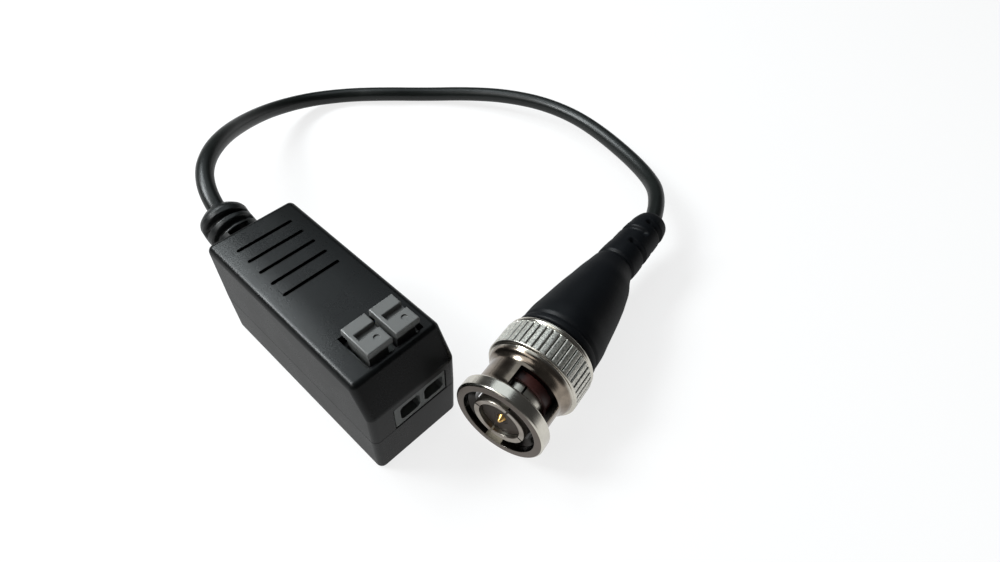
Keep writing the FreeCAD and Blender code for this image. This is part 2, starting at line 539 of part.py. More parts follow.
arresterEnds = [solid("Cylinder", "arresterEnd" + side, ("discPlace", place, arresterAxis),
                      turn=((1, 0, 0), 90), Radius="arresterRadius + 0.05", Height="0.6")
                for side, place in (("Left", "-arresterLength"), ("Right", "-0.6"))]
joined("surge_arrester", [arrester] + arresterEnds)
group("chip_resistors", [
    solid("Box", "chip%d" % i, ("-filmPlace - filmLength - chipGap - chipWidth",
                                "%d * chipPitch - chipLength / 2" % (i - 1), boardTop),
          Length="chipWidth", Width="chipLength", Height="chipHeight") for i in range(3)])

# Solder joints under the board, a cone round each pin and wire end
jointPieces = []
jointPlaces = [(pinPlace, place, "solderPinWidth * 0.7072") for place in wayPlaces.values()]
jointPlaces += [(x, y, "coreWireRadius") for x, y in cordPads.values()]
for i, (x, y, bore) in enumerate(jointPlaces):
    cone = solid("Cone", "solderCone%d" % i, (x, y, "boardBottom - solderHeight"),
                 Radius1="%s + 0.15" % bore, Radius2="solderRadius", Height="solderHeight")
    core = solid("Cylinder", "solderBore%d" % i, (x, y, "boardBottom - solderHeight - 0.5"), Radius=bore,
                 Height="solderHeight + 1")
    ring = doc.addObject("Part::Cut", "solderRing%d" % i)
    ring.Base = cone
    ring.Tool = core
    jointPieces.append(ring)
group("solder_joints", jointPieces)

# Strain relief: flange inside the rear wall, neck through it, and a ribbed bell that leans up behind it. The
# bell has a cage of four windows round the cord, so that it bends, then a groove, and a shoulder that closes
# on the cord.
stalk = newBody("relief_stalk")
stalkSection = newSketch(stalk, "reliefStalk", "XZ_Plane")
flangeFace = "(-wallThickness - 0.05)"
addOutline(stalkSection, [
    ("0", flangeFace + " - reliefFlangeThickness"), ("reliefFlangeRadius",
                                                     flangeFace + " - reliefFlangeThickness"),
    ("reliefFlangeRadius", flangeFace), ("reliefNeckRadius", flangeFace), ("reliefNeckRadius", "0.05"),
    ("reliefCollarRadius - 0.2", "0.05"), ("reliefCollarRadius", "0.25"),
    ("reliefCollarRadius", "reliefCollar"),
    ("0", "reliefCollar")])
revolve(stalk, stalkSection)
reliefPlace = FreeCAD.Placement(FreeCAD.Vector(size("-caseLength / 2"), 0, size("exitHeight")),
                                FreeCAD.Rotation(FreeCAD.Vector(0, 1, 0), -90))
stalk.Placement = reliefPlace
bell = newBody("relief_bell")
bellSection = newSketch(bell, "reliefBell", "XZ_Plane")
groove1, groove2 = "reliefOuterGroove", "reliefWindowEnd"
addOutline(bellSection, [
    ("0", "1.1"), ("3", "1.1"), ("reliefRadius - 0.15", "2.1"), ("reliefRadius + 0.05", "2.4"),
    ("reliefRadius + 0.05", groove2),
    ("reliefRadius - reliefGrooveDepth", groove2), ("reliefRadius - reliefGrooveDepth",
                                                    groove2 + " + reliefGrooveWidth"),
    ("reliefRadius", groove2 + " + reliefGrooveWidth + 0.1"), ("reliefRadius", groove1 + " - 0.1"),
    ("reliefTipRadius - reliefGrooveDepth + 0.2", groove1), ("reliefTipRadius - reliefGrooveDepth + 0.2",
                                                             "reliefTipPivot + 0.1"),
    ("0", "reliefTipPivot + 0.1")])
revolve(bell, bellSection)
cavity = newSketch(bell, "reliefCavity", "XY_Plane", "reliefWindowEnd")
addCircle(cavity, "0", "0", "reliefRadius - reliefWall")
pocket(bell, cavity, "reliefWindowEnd - reliefWindowStart")
for across in ("Side", "Upright"):
    opening = newSketch(bell, "reliefWindow" + across, "XY_Plane", "reliefWindowEnd")
    for side in ("-", ""):
        reach = [side + "(cordRadius + 0.8)", side + "(reliefRadius + 1)"]
        span = ["-reliefSlotWidth / 2", "reliefSlotWidth / 2"]
        addOutline(opening, rectangle(*(reach + span if across == "Side" else span + reach)))
    pocket(bell, opening, "reliefWindowEnd - reliefWindowStart")
tip = newBody("relief_tip")
tipSection = newSketch(tip, "reliefTip", "XZ_Plane")
addOutline(tipSection, [
    ("0", "-0.1"), ("reliefTipRadius - reliefGrooveDepth + 0.32", "-0.1"),
    ("reliefTipRadius - reliefGrooveDepth + 0.32", "0.5"),
    ("reliefTipRadius", "0.65"), ("reliefTipRadius", "reliefShoulder - reliefTipPivot"),
    ("reliefTipRadius - 0.45", "reliefShoulder - reliefTipPivot + 0.65"),
    ("reliefTipRadius - 1.1", "reliefShoulder - reliefTipPivot + 1.25"),
    ("reliefMouthRadius", "reliefLength - reliefTipPivot"), ("0", "reliefLength - reliefTipPivot")])
revolve(tip, tipSection)
bellTurn = FreeCAD.Rotation(FreeCAD.Vector(0, 0, 1), -size("reliefSwing"))
bellTurn = bellTurn.multiply(FreeCAD.Rotation(FreeCAD.Vector(0, 1, 0), -90 + size("reliefTilt")))
bell.Placement = FreeCAD.Placement(reliefPlace.Base, bellTurn)
tipStart = bell.Placement.multVec(FreeCAD.Vector(0, 0, size("reliefTipPivot")))
tipTurn = FreeCAD.Rotation(FreeCAD.Vector(0, 0, 1), -size("reliefTipSwing"))
tipTurn = tipTurn.multiply(FreeCAD.Rotation(FreeCAD.Vector(0, 1, 0), -90 + size("reliefTipTilt")))
tip.Placement = FreeCAD.Placement(tipStart, tipTurn)
mouth = tip.Placement.multVec(FreeCAD.Vector(0, 0, size("reliefLength - reliefTipPivot")))
mouthWay = tipTurn.multVec(FreeCAD.Vector(0, 0, 1))


def bent(label, places, radii):
    """A round bar through places, with a ball at each bend."""
    pieces = []
    for i, (start, end) in enumerate(zip(places, places[1:])):
        bar = doc.addObject("Part::Cylinder", "%sBar%d" % (label, i))
        bar.setExpression("Radius", bound(radii))
        bar.Height = (end - start).Length
        bar.Placement = FreeCAD.Placement(start, FreeCAD.Rotation(FreeCAD.Vector(0, 0, 1), end - start))
        pieces.append(bar)
        if i:
            ball = doc.addObject("Part::Sphere", "%sBall%d" % (label, i))
            ball.setExpression("Radius", bound(radii))
            ball.Placement.Base = start
            pieces.append(ball)
    return joined(label, pieces)


def cutFrom(label, base, tool):
    whole = doc.addObject("Part::Cut", label)
    whole.Label = label
    whole.Base = base
    whole.Tool = tool
    return whole


# The cord's end in the case: from the relief's mouth through the bell and the wall to the end of its jacket
jacketStart = size("-caseLength / 2 + wallThickness + 0.05 + reliefFlangeThickness + jacketInside")
reliefPivot = FreeCAD.Vector(size("-caseLength / 2"), 0, size("exitHeight"))
caseEnd = bent("coax_case_end", [mouth, tipStart, reliefPivot,
                                 FreeCAD.Vector(jacketStart, 0, size("exitHeight"))],
               "cordRadius")
cutFrom("strain_relief", joined("relief_solid", [stalk, bell, tip]), caseEnd)


# The core wire and the braid tail, from the jacket's end down to their pads
def roundedPath(points, share=0.45):
    """Straight runs joined by tangent arcs, each as large as its two runs allow, and the arcs' radii."""
    points = [FreeCAD.Vector(*p) for p in points]
    edges = []
    radii = []
    here = points[0]
    for before, corner, after in zip(points, points[1:], points[2:]):
        inward = (before - corner).normalize()
        outward = (after - corner).normalize()
        turn = math.pi - inward.getAngle(outward)
        reach = share * min((before - corner).Length, (after - corner).Length)
        radius = reach / math.tan(turn / 2)
        radii.append(radius)
        arcStart = corner + inward * reach
        arcEnd = corner + outward * reach
        middle = (inward + outward).normalize()
        arcMid = corner + middle * (radius / math.cos(turn / 2) - radius)
        edges.append(Part.LineSegment(here, arcStart).toShape())
        edges.append(Part.Arc(arcStart, arcMid, arcEnd).toShape())
        here = arcEnd
    edges.append(Part.LineSegment(here, points[-1]).toShape())
    return Part.Wire(edges), radii


def tube(label, points, radius):
    """A round bar along a rounded path, checked against its section times its length."""
    wire, radii = roundedPath(points)
    first = wire.Edges[0]
    ring = Part.Wire(Part.makeCircle(radius, first.Vertexes[0].Point,
                                     first.tangentAt(first.FirstParameter)))
    shape = wire.makePipeShell([ring], True, True)
    expected = math.pi * radius ** 2 * wire.Length
    if abs(shape.Volume - expected) > 0.01 * expected:
        raise RuntimeError(label + " has lost volume")
    made = doc.addObject("Part::Feature", label)
    made.Label = label
    made.Shape = shape
    print(label, "length %.1f" % wire.Length, "radii", " ".join("%.1f" % r for r in radii))
    return made


wireStart = jacketStart + size("fitClearance") / 4
wireBend = wireStart + size("wireRun")
exitLevel = size("exitHeight")
for label, name, wireRadius in (("cord_core_wire", "core", "coreWireRadius"),
                                ("cord_braid_tail", "braid", "braidTailRadius")):
    padX, padY = (size(text) for text in cordPads[name])
    tube(label, [(wireStart, 0.45 * padY, exitLevel), (wireBend, 0.45 * padY, exitLevel),
                 (padX, padY, exitLevel - 0.3), (padX, padY, size("boardBottom - 0.6"))], size(wireRadius))

# Bayonet plug. Each turned piece is drawn with its radius across and its distance from the front rim upwards.
plugTurn = FreeCAD.Rotation(FreeCAD.Vector(0, 0, 1), size("plugAzimuth"))
plugTurn = plugTurn.multiply(FreeCAD.Rotation(FreeCAD.Vector(0, 1, 0), 90))
plugPlace = FreeCAD.Placement(FreeCAD.Vector(size("plugX"), size("plugY"), size("knurlRadius + plugLift")),
                              plugTurn)
sleeveTurn = FreeCAD.Placement(FreeCAD.Vector(), FreeCAD.Rotation(FreeCAD.Vector(0, 0, 1),
                                                                  size("sleeveTurn")))


def turnedPiece(label, corners, place=None):
    """A piece of the plug, turned from a half section."""
    piece = newBody(label)
    section = newSketch(piece, label.replace("_", "") + "Section", "XZ_Plane")
    addOutline(section, corners)
    revolve(piece, section)
    piece.Placement = place or plugPlace
    return piece


def turnedBar(turn, reach, width):
    """The corners of a bar that points out of the middle, turned by an angle."""
    ahead, aside = "%%s * cos(%s * 1deg)" % turn, "%%s * sin(%s * 1deg)" % turn
    low, high = "(-%s / 2)" % width, "(%s / 2)" % width
    return [(ahead % far + " - " + aside % across, aside % far + " + " + ahead % across)
            for far, across in (("0", low), (reach, low), (reach, high), ("0", high))]


sleeve = turnedPiece("coupling_sleeve", [
    ("mouthRadius", "0"), ("rimRadius - rimBevel", "0"), ("rimRadius", "rimBevel"),
    ("rimRadius", "rimLength - rimBevel"),
    ("rimRadius - rimBevel", "rimLength"), ("neckRadius", "rimLength + 0.4"),
    ("neckRadius", "neckEnd - 0.6"),
    ("neckRadius + 0.35", "neckEnd"), ("shoulderRadius - 0.1", "neckEnd + 0.5"),
    ("shoulderRadius", "knurlStart"),
    ("knurlRadius - 0.15", "knurlStart"), ("knurlRadius", "knurlStart + 0.15"), ("knurlRadius", "knurlEnd"),
    ("rearRimRadius - 0.25", "knurlEnd + 0.15"), ("rearRimRadius", "knurlEnd + 0.4"),
    ("rearRimRadius", "sleeveLength - 0.15"), ("rearRimRadius - 0.15", "sleeveLength"),
    ("lipBore", "sleeveLength"),
    ("lipBore", "sleeveLength - lipThickness"), ("cavityRadius", "sleeveLength - lipThickness"),
    ("cavityRadius", "cavityStart"), ("sleeveBore", "cavityStart"), ("sleeveBore", "mouthDepth"),
    ("mouthRadius - 0.15", "mouthDepth * 0.6")], plugPlace.multiply(sleeveTurn))
wedge = newSketch(sleeve, "bayonetWindow", "XY_Plane", "windowEnd")
wedgeReach = "(2 * knurlRadius)"
addOutline(wedge, [("0", "0"), (wedgeReach + " * cos(windowAngle / 2 * 1deg)",
                                "-%s * sin(windowAngle / 2 * 1deg)" % wedgeReach),
                   (wedgeReach + " * 1.2", "0"),
                   (wedgeReach + " * cos(windowAngle / 2 * 1deg)",
                    wedgeReach + " * sin(windowAngle / 2 * 1deg)")])
windowCut = pocket(sleeve, wedge, "windowEnd - windowStart")
entry = newSketch(sleeve, "lugEntry", "XY_Plane", "windowStart + 0.5")
addOutline(entry, turnedBar("entryTurn", "entryRadius", "entryWidth"))
entryCut = pocket(sleeve, entry, "windowStart + 1")
halfTurn = pattern(sleeve, "PolarPattern", [windowCut, entryCut], "2", Axis=originAxis(sleeve, "Z_Axis"),
                   Angle=360)
flute = newSketch(sleeve, "knurlFlute", "XY_Plane", "knurlEnd + 0.1")
addOutline(flute, [("knurlRadius + 0.3", "-knurlDepth"), ("knurlRadius + 0.3", "knurlDepth"),
                   ("knurlRadius - knurlDepth", "0")])
fluteCut = pocket(sleeve, flute, "knurlEnd + 0.2 - knurlStart")
flutes = pattern(sleeve, "PolarPattern", [fluteCut], "knurlCount", Axis=originAxis(sleeve, "Z_Axis"),
                 Angle=360)

contactTurn = FreeCAD.Placement(FreeCAD.Vector(), FreeCAD.Rotation(FreeCAD.Vector(0, 0, 1),
                                                                   size("contactTurn")))
contact = turnedPiece("outer_contact", rectangle("contactRadius - contactWall", "contactRadius",
                                                 "contactFront",
                                                 "contactEnd"), plugPlace.multiply(contactTurn))
slotCut = newSketch(contact, "contactSlot", "XY_Plane", "contactSlotEnd")
addOutline(slotCut, turnedBar("contactSlotTurn", "(contactRadius + 1)", "contactSlotWidth"))
firstSlot = pocket(contact, slotCut, "contactSlotEnd")
pattern(contact, "PolarPattern", [firstSlot], "4", Axis=originAxis(contact, "Z_Axis"), Angle=360)
insulatorRadius = "(contactRadius - contactWall - 0.03)"
turnedPiece("front_insulator", [
    ("pinRadius + 0.03", "insulatorFront + 0.5"), ("pinRadius + 0.5", "insulatorFront + 0.5"),
    ("pinRadius + 0.8", "insulatorFront"), (insulatorRadius + " - 0.1", "insulatorFront"),
    (insulatorRadius, "insulatorFront + 0.2"), (insulatorRadius, "insulatorEnd"),
    ("pinRadius + 0.03", "insulatorEnd")])
turnedPiece("centre_pin", [
    ("0", "pinFront"), ("pinRadius * 0.35", "pinFront"), ("pinRadius", "pinFront + pinTaper"),
    ("pinRadius", "pinEnd"),
    ("0", "pinEnd")])
bodyFace = "(contactEnd + gasketLength)"
turnedPiece("face_gasket", rectangle("bossRadius + 0.02", "bodyRadius", "contactEnd + 0.02", bodyFace))
turnedPiece("connector_body", [
    ("contactRadius - contactWall", "contactEnd"), ("bossRadius", "contactEnd"), ("bossRadius", bodyFace),
    ("bodyRadius", bodyFace), ("bodyRadius", "flangeStart"),
    ("flangeRadius", "flangeStart"), ("flangeRadius", "flangeEnd"), ("shankRadius", "flangeEnd"),
    ("shankRadius", "shankEnd"), ("stubRadius", "shankEnd"), ("stubRadius", "stubEnd"),
    ("stubBore", "stubEnd"),
    ("stubBore", "insulatorEnd"), ("contactRadius - contactWall", "insulatorEnd")])
turnedPiece("spring_washer", [
    ("washerBore", "flangeEnd + 0.02"), ("washerRadius",
                                         "flangeEnd + springWasherHeight - washerThickness"),
    ("washerRadius", "flangeEnd + springWasherHeight"), ("washerBore",
                                                         "flangeEnd + 0.02 + washerThickness")])
lipFace = "(sleeveLength - lipThickness)"
turnedPiece("thrust_washer", rectangle("washerBore", "washerRadius",
                                       lipFace + " - 0.05 - thrustWasherThickness",
                                       lipFace + " - 0.05"))
turnedPiece("retaining_clip", rectangle("shankRadius", "clipRadius", "sleeveLength + 0.1",
                                        "sleeveLength + 0.1 + clipThickness"))
turnedPiece("crimp_ferrule", rectangle("ferruleRadius - ferruleWall", "ferruleRadius", "shankEnd + 0.1",
                                       "stubEnd + 0.5"))
braidRadius = "(ferruleRadius - ferruleWall)"
turnedPiece("crimped_braid", rectangle("stubRadius", braidRadius, "shankEnd + 0.1", "stubEnd"))
turnedPiece("plug_dielectric", rectangle("0", "stubBore", "pinEnd + 0.1", "stubEnd"))
bootBend = plugPlace.multVec(FreeCAD.Vector(0, 0, size("bootBend")))
tailPlace = FreeCAD.Placement(FreeCAD.Vector(), FreeCAD.Rotation(FreeCAD.Vector(0, 0, 1),
                                                                 size("bootSwing")), bootBend)
tailPlace = tailPlace.multiply(plugPlace)
bootMouth = tailPlace.multVec(FreeCAD.Vector(0, 0, size("bootEnd")))
bootWay = tailPlace.Rotation.multVec(FreeCAD.Vector(0, 0, 1))
plugEnd = bent("coax_plug_end", [plugPlace.multVec(FreeCAD.Vector(0, 0, size("stubEnd + 0.1"))), bootBend,
                                 bootMouth],
               "cordRadius")

# Boot: cone over the crimp, a step, and a ribbed tail whose end bends with the cord, moulded round both
bootCorners = [
    ("shankRadius + bootGap", "bootFront"), ("bootRimRadius", "bootFront"),
    ("bootRadius", "bootFront + 0.8"),
    ("bootRadius - 0.1", "bootBody - 2"), ("bootRadius - 0.45", "bootBody"), ("bootMidRadius", "bootMid"),
    ("bootStepRadius", "bootStep"), ("bootNeckRadius", "bootStep + 0.6")]


def bootRadiusAt(place):
    """The tail's outside radius, narrowing steadily from the step to the boot's end."""
    share = "((%s - bootStep) / (bootEnd - bootStep)) ^ 2" % place
    return "(bootNeckRadius + (bootTipRadius - bootNeckRadius) * %s)" % share


def bootGroove(start):
    after = "(%s + bootGrooveWidth)" % start
    return [(bootRadiusAt(start), start), (bootRadiusAt(start) + " - bootGrooveDepth",
                                           start + " + bootGrooveWidth * 0.2"),
            (bootRadiusAt(after) + " - bootGrooveDepth", after + " - bootGrooveWidth * 0.2"),
            (bootRadiusAt(after), after)]


bootCorners += bootGroove("bootGrooveFirst") + bootGroove("(bootGrooveFirst + bootGroovePitch)")
bootCorners += [
    ("bootNeckRadius - 0.7", "bootBend + 0.1"), ("0", "bootBend + 0.1"), ("0", "stubEnd + 0.6"),
    ("ferruleRadius + 0.02", "stubEnd + 0.6"), ("ferruleRadius + 0.02", "shankEnd + 0.05"),
    ("shankRadius + bootGap", "shankEnd + 0.05")]
bootFront = turnedPiece("boot_front", bootCorners)
bootTail = turnedPiece("boot_tail", [
    ("0", "bootBend - 0.3"), ("bootNeckRadius - 0.75", "bootBend - 0.3"),
    (bootRadiusAt("(bootBend + 0.5)"), "bootBend + 0.5")]
    + bootGroove("(bootGrooveFirst + bootGroovePitch * 2)") + [
    (bootRadiusAt("(bootEnd - bootEndRound)"), "bootEnd - bootEndRound"),
    (bootRadiusAt("(bootEnd - bootEndRound)") + " - 0.25", "bootEnd - bootEndRound * 0.4"),
    ("bootEndRadius", "bootEnd"), ("0", "bootEnd")], tailPlace)
cutFrom("plug_boot", joined("boot_solid", [bootFront, bootTail]), plugEnd)

# The cord's free length, from the relief's mouth to the boot's end, by points chosen along its rest shape
cordPoints = [
    tuple(mouth), tuple(mouth + mouthWay * 6),
    (-44.6, 7.9, 14.7), (-57.2, 22.2, 7.2), (-61.1, 35, 2.8), (-58, 44.4, 1.3), (-51.4, 50.9, 2),
    (-45.1, 58.1, 1.6), (-37.7, 64.3, 2.5), (-29.4, 68.8, 3.8), (-19.7, 72.1, 4.6), (-8.5, 72.6, 4.9),
    (8.6, 67.8, 5.6),
    tuple(bootMouth + bootWay * 6), tuple(bootMouth)]
tube("coax_cord", cordPoints, size("cordRadius"))

# Nothing is written unless every object is sound
doc.recompute()
nodes = [
    "top_shell", "bottom_shell", "circuit_board", "terminal_block", "push_lever_left", "push_lever_right",
    "contact_strip_left", "contact_strip_right", "clamp_spring_left", "clamp_spring_right", "core_carrier",
    "balun_core", "line_winding", "camera_winding", "film_capacitor", "disc_capacitor", "surge_arrester",
    "chip_resistors", "solder_joints", "strain_relief", "coax_case_end", "cord_core_wire",
    "cord_braid_tail",
    "coax_cord", "coupling_sleeve", "outer_contact", "front_insulator", "centre_pin", "face_gasket",
    "connector_body", "spring_washer", "thrust_washer", "retaining_clip", "crimp_ferrule", "crimped_braid",
    "plug_dielectric", "coax_plug_end", "plug_boot"]
for item in doc.Objects:
    if "Invalid" in item.State or "Error" in item.State:
        raise RuntimeError("failed: " + item.Label)
os.makedirs("parts", exist_ok=True)
for label in nodes:
    shape = doc.getObjectsByLabel(label)[0].Shape
    if shape.isNull() or not shape.isValid():
        raise RuntimeError("bad shape: " + label)
    print(label, "solids", len(shape.Solids), "volume %.1f" % shape.Volume)
    shape.exportStep("parts/%s.step" % label)
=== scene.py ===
import bmesh
import bpy
import numpy as np
from mathutils import Matrix, Vector


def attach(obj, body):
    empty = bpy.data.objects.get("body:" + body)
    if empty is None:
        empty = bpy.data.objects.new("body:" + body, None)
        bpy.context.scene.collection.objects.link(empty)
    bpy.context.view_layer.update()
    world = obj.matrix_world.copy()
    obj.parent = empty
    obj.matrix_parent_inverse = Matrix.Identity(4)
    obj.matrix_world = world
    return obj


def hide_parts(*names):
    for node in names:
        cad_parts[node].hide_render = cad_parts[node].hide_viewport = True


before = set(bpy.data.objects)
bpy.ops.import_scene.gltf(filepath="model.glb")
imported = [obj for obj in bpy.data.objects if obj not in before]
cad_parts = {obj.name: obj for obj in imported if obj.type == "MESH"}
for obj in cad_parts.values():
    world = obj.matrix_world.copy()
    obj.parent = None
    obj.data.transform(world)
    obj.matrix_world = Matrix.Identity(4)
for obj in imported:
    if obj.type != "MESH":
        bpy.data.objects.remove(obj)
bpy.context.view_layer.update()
mm = 0.001
perMetre = 1000                                 # millimetres in a metre
middle = 0.5                                    # the mean of a noise texture
mergeDistance = 2e-8                            # metres, for points that two faces share
scene = bpy.context.scene
scene.view_settings.view_transform = "Standard"
print("frame loaded with", len(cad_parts), "nodes")

# Camera: where the photograph was taken from, in millimetres of the case's frame; near and far in metres
cameraSettings = {"place": (57.16, -26.71, 88.56), "right": (0.71985, 0.69362, 0.02672),
                  "up": (-0.53696, 0.53205, 0.65467), "back": (0.43987, -0.48561, 0.75544),
                  "lens": 23.677, "sensor": 36, "near": 0.005, "far": 6}


def placeCamera():
    lens = bpy.data.cameras.new("photoCamera")
    lens.lens = cameraSettings["lens"]
    lens.sensor_width = cameraSettings["sensor"]
    lens.clip_start = cameraSettings["near"]
    lens.clip_end = cameraSettings["far"]
    eye = bpy.data.objects.new("photoCamera", lens)
    scene.collection.objects.link(eye)
    turn = Matrix((cameraSettings["right"], cameraSettings["up"], cameraSettings["back"])).transposed()
    eye.matrix_world = Matrix.Translation(Vector(cameraSettings["place"]) * mm) @ turn.to_4x4()
    scene.camera = eye


placeCamera()
print("camera placed")


class Signal:                                   # one number or colour in a material, with arithmetic
    def __init__(self, finish, socket):
        self.finish = finish
        self.socket = socket

    def math(self, operation, *values):         # the first value is this one
        return self.finish.node("Math", {"operation": operation}, dict(enumerate((self,) + values)))

    def __add__(self, other):
        return self.math("ADD", other)

    def __radd__(self, other):
        return self + other

    def __sub__(self, other):
        return self.math("SUBTRACT", other)

    def __rsub__(self, other):
        return self * -1 + other

    def __mul__(self, other):
        return self.math("MULTIPLY", other)

    def __rmul__(self, other):
        return self * other

    def __pow__(self, other):
        return self.math("POWER", other)

    def over(self, level, soft):                # 0 below the level, 1 above it, with a soft step
        return self.finish.node("MapRange", {"interpolation_type": "SMOOTHSTEP"},
                                {0: self, 1: level - soft, 2: level + soft, 3: 0.0, 4: 1.0})

    def between(self, low, high, soft):         # 1 from the low level to the high one
        return self.over(low, soft) * (1 - self.over(high, soft))


class Finish:                                   # one procedural material, or the room's own light
    def __init__(self, name, room=None):
        self.material = room or bpy.data.materials.new(name)
        self.material.use_nodes = True
        self.tree = self.material.node_tree
        self.tree.nodes.clear()

    def node(self, kind, settings=None, values=None, out=0):   # makes a node, sets it, then feeds its sockets
        made = self.tree.nodes.new("ShaderNode" + kind)
        for key, value in (settings or {}).items():
            setattr(made, key, value)
        for key, value in (values or {}).items():
            if isinstance(value, Signal):
                self.tree.links.new(value.socket, made.inputs[key])
            else:
                made.inputs[key].default_value = value
        return Signal(self, made.outputs[out]) if len(made.outputs) else None

    def place(self, shift=(0, 0, 0), turn=(0, 0, 0)):          # the piece's own coordinates
        here = self.node("TexCoord", out="Object")
        return self.node("Mapping", values={"Vector": here, "Location": shift, "Rotation": turn})

    def part(self, where, axis):                # one of the three numbers of a place
        parts = self.node("SeparateXYZ", values={"Vector": where})
        return Signal(self, parts.socket.node.outputs[axis])

    def noise(self, where, scale, detail, rough=0.5):
        sockets = {"Vector": where, "Scale": scale, "Detail": detail, "Roughness": rough}
        return self.node("TexNoise", values=sockets)

    def blend(self, share, first, second):      # mixes two colours
        return self.node("Mix", {"data_type": "RGBA"}, {0: share, 6: first, 7: second}, out=2)

    def mottle(self, share, color, darker, lighter):           # one colour in two strengths
        return self.blend(share, tinted(color, darker), tinted(color, lighter))

    def bump(self, height, depth, under=None):  # depth in millimetres
        values = {"Height": height, "Distance": depth * mm, "Strength": 1.0}
        if under:
            values["Normal"] = under
        return self.node("Bump", values=values)

    def shader(self, gloss=None, **values):     # gloss is the share of the surface that mirrors
        named = {"color": "Base Color", "metal": "Metallic", "rough": "Roughness", "normal": "Normal"}
        sockets = {named[key]: value for key, value in values.items()}
        surface = self.node("BsdfPrincipled", values=sockets)
        if gloss is not None:
            dull = self.node("BsdfPrincipled", values=dict(sockets, **{"Specular IOR Level": 0.0}))
            surface = self.node("MixShader", values={0: gloss, 1: dull, 2: surface})
        self.node("OutputMaterial", values={"Surface": surface})
        return self.material


def tinted(color, share=1.0):                   # a colour at a share of its strength, opaque
    return tuple(min(1.0, part * share) for part in color) + (1.0,)


# Plastics and plain metals: noise scales per metre, depths and places in millimetres
plasticSettings = {"driftScale": 190, "driftDetail": 3, "driftShare": 0.7, "grainDetail": 2,
                   "grainRough": 0.65, "roughSpread": 0.12, "crownFrom": 2.2}
metalSettings = {"driftScale": 260, "driftDetail": 4, "grainDetail": 3, "noiseRough": 0.6, "patchEdge": 0.25,
                 "drift": 0.1, "driftSpread": 0.24, "grainSpread": 0.12}


def plastic(name, color, rough, grain=4200, depth=0.004, drift=0.12, gloss=0.8, crown=0.0):
    # a slow noise drifts the tone over some five millimetres, a fine one is the tool's spark finish
    look = plasticSettings
    finish = Finish(name)
    where = finish.place()
    slow = finish.noise(where, look["driftScale"], look["driftDetail"])
    fine = finish.noise(where, grain, look["grainDetail"], look["grainRough"])
    cloud = slow * look["driftShare"] + fine * (1 - look["driftShare"])
    shade = finish.mottle(cloud, color, 1 - drift, 1 + drift)
    normal = finish.bump(fine, depth)
    if crown:                                   # a moulded wall falls away a little towards its long edges
        aside = finish.part(where, "Y").math("ABSOLUTE") * perMetre
        edge = (aside - look["crownFrom"]).math("MAXIMUM", 0.0)
        normal = finish.bump(edge * edge * -crown, 1.0, normal)
    rough = (slow - middle) * look["roughSpread"] + (fine - middle) * look["roughSpread"] + rough
    return finish.shader(color=shade, rough=rough, normal=normal, gloss=gloss)


def metal(name, color, rough, grain=2600, depth=0.002):
    # a slow noise gives patches of two tones, a fine one is the surface's grain
    look = metalSettings
    finish = Finish(name)
    where = finish.place()
    slow = finish.noise(where, look["driftScale"], look["driftDetail"], look["noiseRough"])
    fine = finish.noise(where, grain, look["grainDetail"], look["noiseRough"])
    shade = finish.mottle(slow.over(middle, look["patchEdge"]), color, 1 - look["drift"], 1 + look["drift"])
    rough = (slow - middle) * look["driftSpread"] + (fine - middle) * look["grainSpread"] + rough
    return finish.shader(color=shade, metal=1.0, rough=rough, normal=finish.bump(fine, depth))


# Bayonet plug: its axis starts at the front rim and runs back to the boot, in millimetres
plugAngle = np.radians(99.9)
plugAxis = {"start": np.array([27.64, 6.61, 7.55]), "down": np.array([0, 0, -1.0]),
            "back": np.array([np.cos(plugAngle), np.sin(plugAngle), 0]),
            "aside": np.array([-np.sin(plugAngle), np.cos(plugAngle), 0])}

# Nickel: each zone has a colour, the shares of its dark and its light tone, and where it lies, by reach along
# the plug's axis, by radius or by the noise's patches, each with the softness of the edge as the last number
nickelSettings = {
    "patchScale": 240, "patchDetail": 4, "patchSpread": 0.2, "noiseRough": 0.6,
    "lineStretch": (9000, 90, 90), "lineDetail": 3, "lineRough": 0.7, "lineSpread": 0.12, "lineDepth": 0.0012,
    "grainScale": 5200, "grainDetail": 2, "rough": 0.2,
    "plate": {"color": (0.57, 0.545, 0.485), "tones": (0.86, 1.1), "patches": (middle, 0.3)},
    "knurl": {"color": (0.6, 0.59, 0.54), "tones": (0.5, 1.2), "patches": (0.46, 0.12), "rough": 0.24,
              "depth": 0.026, "reach": (8.62, 12.9, 0.06), "radius": (7.0, 0.05)},
    # painted shade: the knurl's grooves are coloured dark where shade falls between the ribs
    "groove": {"color": (0.1, 0.095, 0.085), "radius": (7.4, 0.045)},
    # painted reflection: the neck's nickel is darkened in brownish patches, as if it mirrored a dark case
    # beside it
    "neck": {"color": (0.22, 0.185, 0.15), "tones": (0.7, 1.3), "patches": (middle, 0.2),
             "reach": (2.7, 8.2, 0.3)},
    # painted reflection: the rim's front face is coloured dark brown, standing for the dark surroundings it
    # mirrors
    "face": {"color": (0.085, 0.068, 0.055), "tones": (0.75, 1.3), "reach": (0.03, 0.03),
             "radius": (5.7, 0.1)},
    # painted shade: the inside of the bore is coloured nearly black, standing for the shade deep in it
    "bore": {"color": (0.03, 0.027, 0.025), "reach": (8.2, 0.1), "radius": (5.86, 0.03)},
    "contact": {"rough": 0.12, "depth": 0.006},
    # painted reflection: the contact's tip is coloured dark brown in patches, standing for dark surroundings
    # it mirrors
    "paintedTipReflection": {"color": (0.13, 0.1, 0.08), "patches": (0.56, 0.2), "least": 0.5, "spread": 0.4,
              "reach": (0.6, 0.25)}}


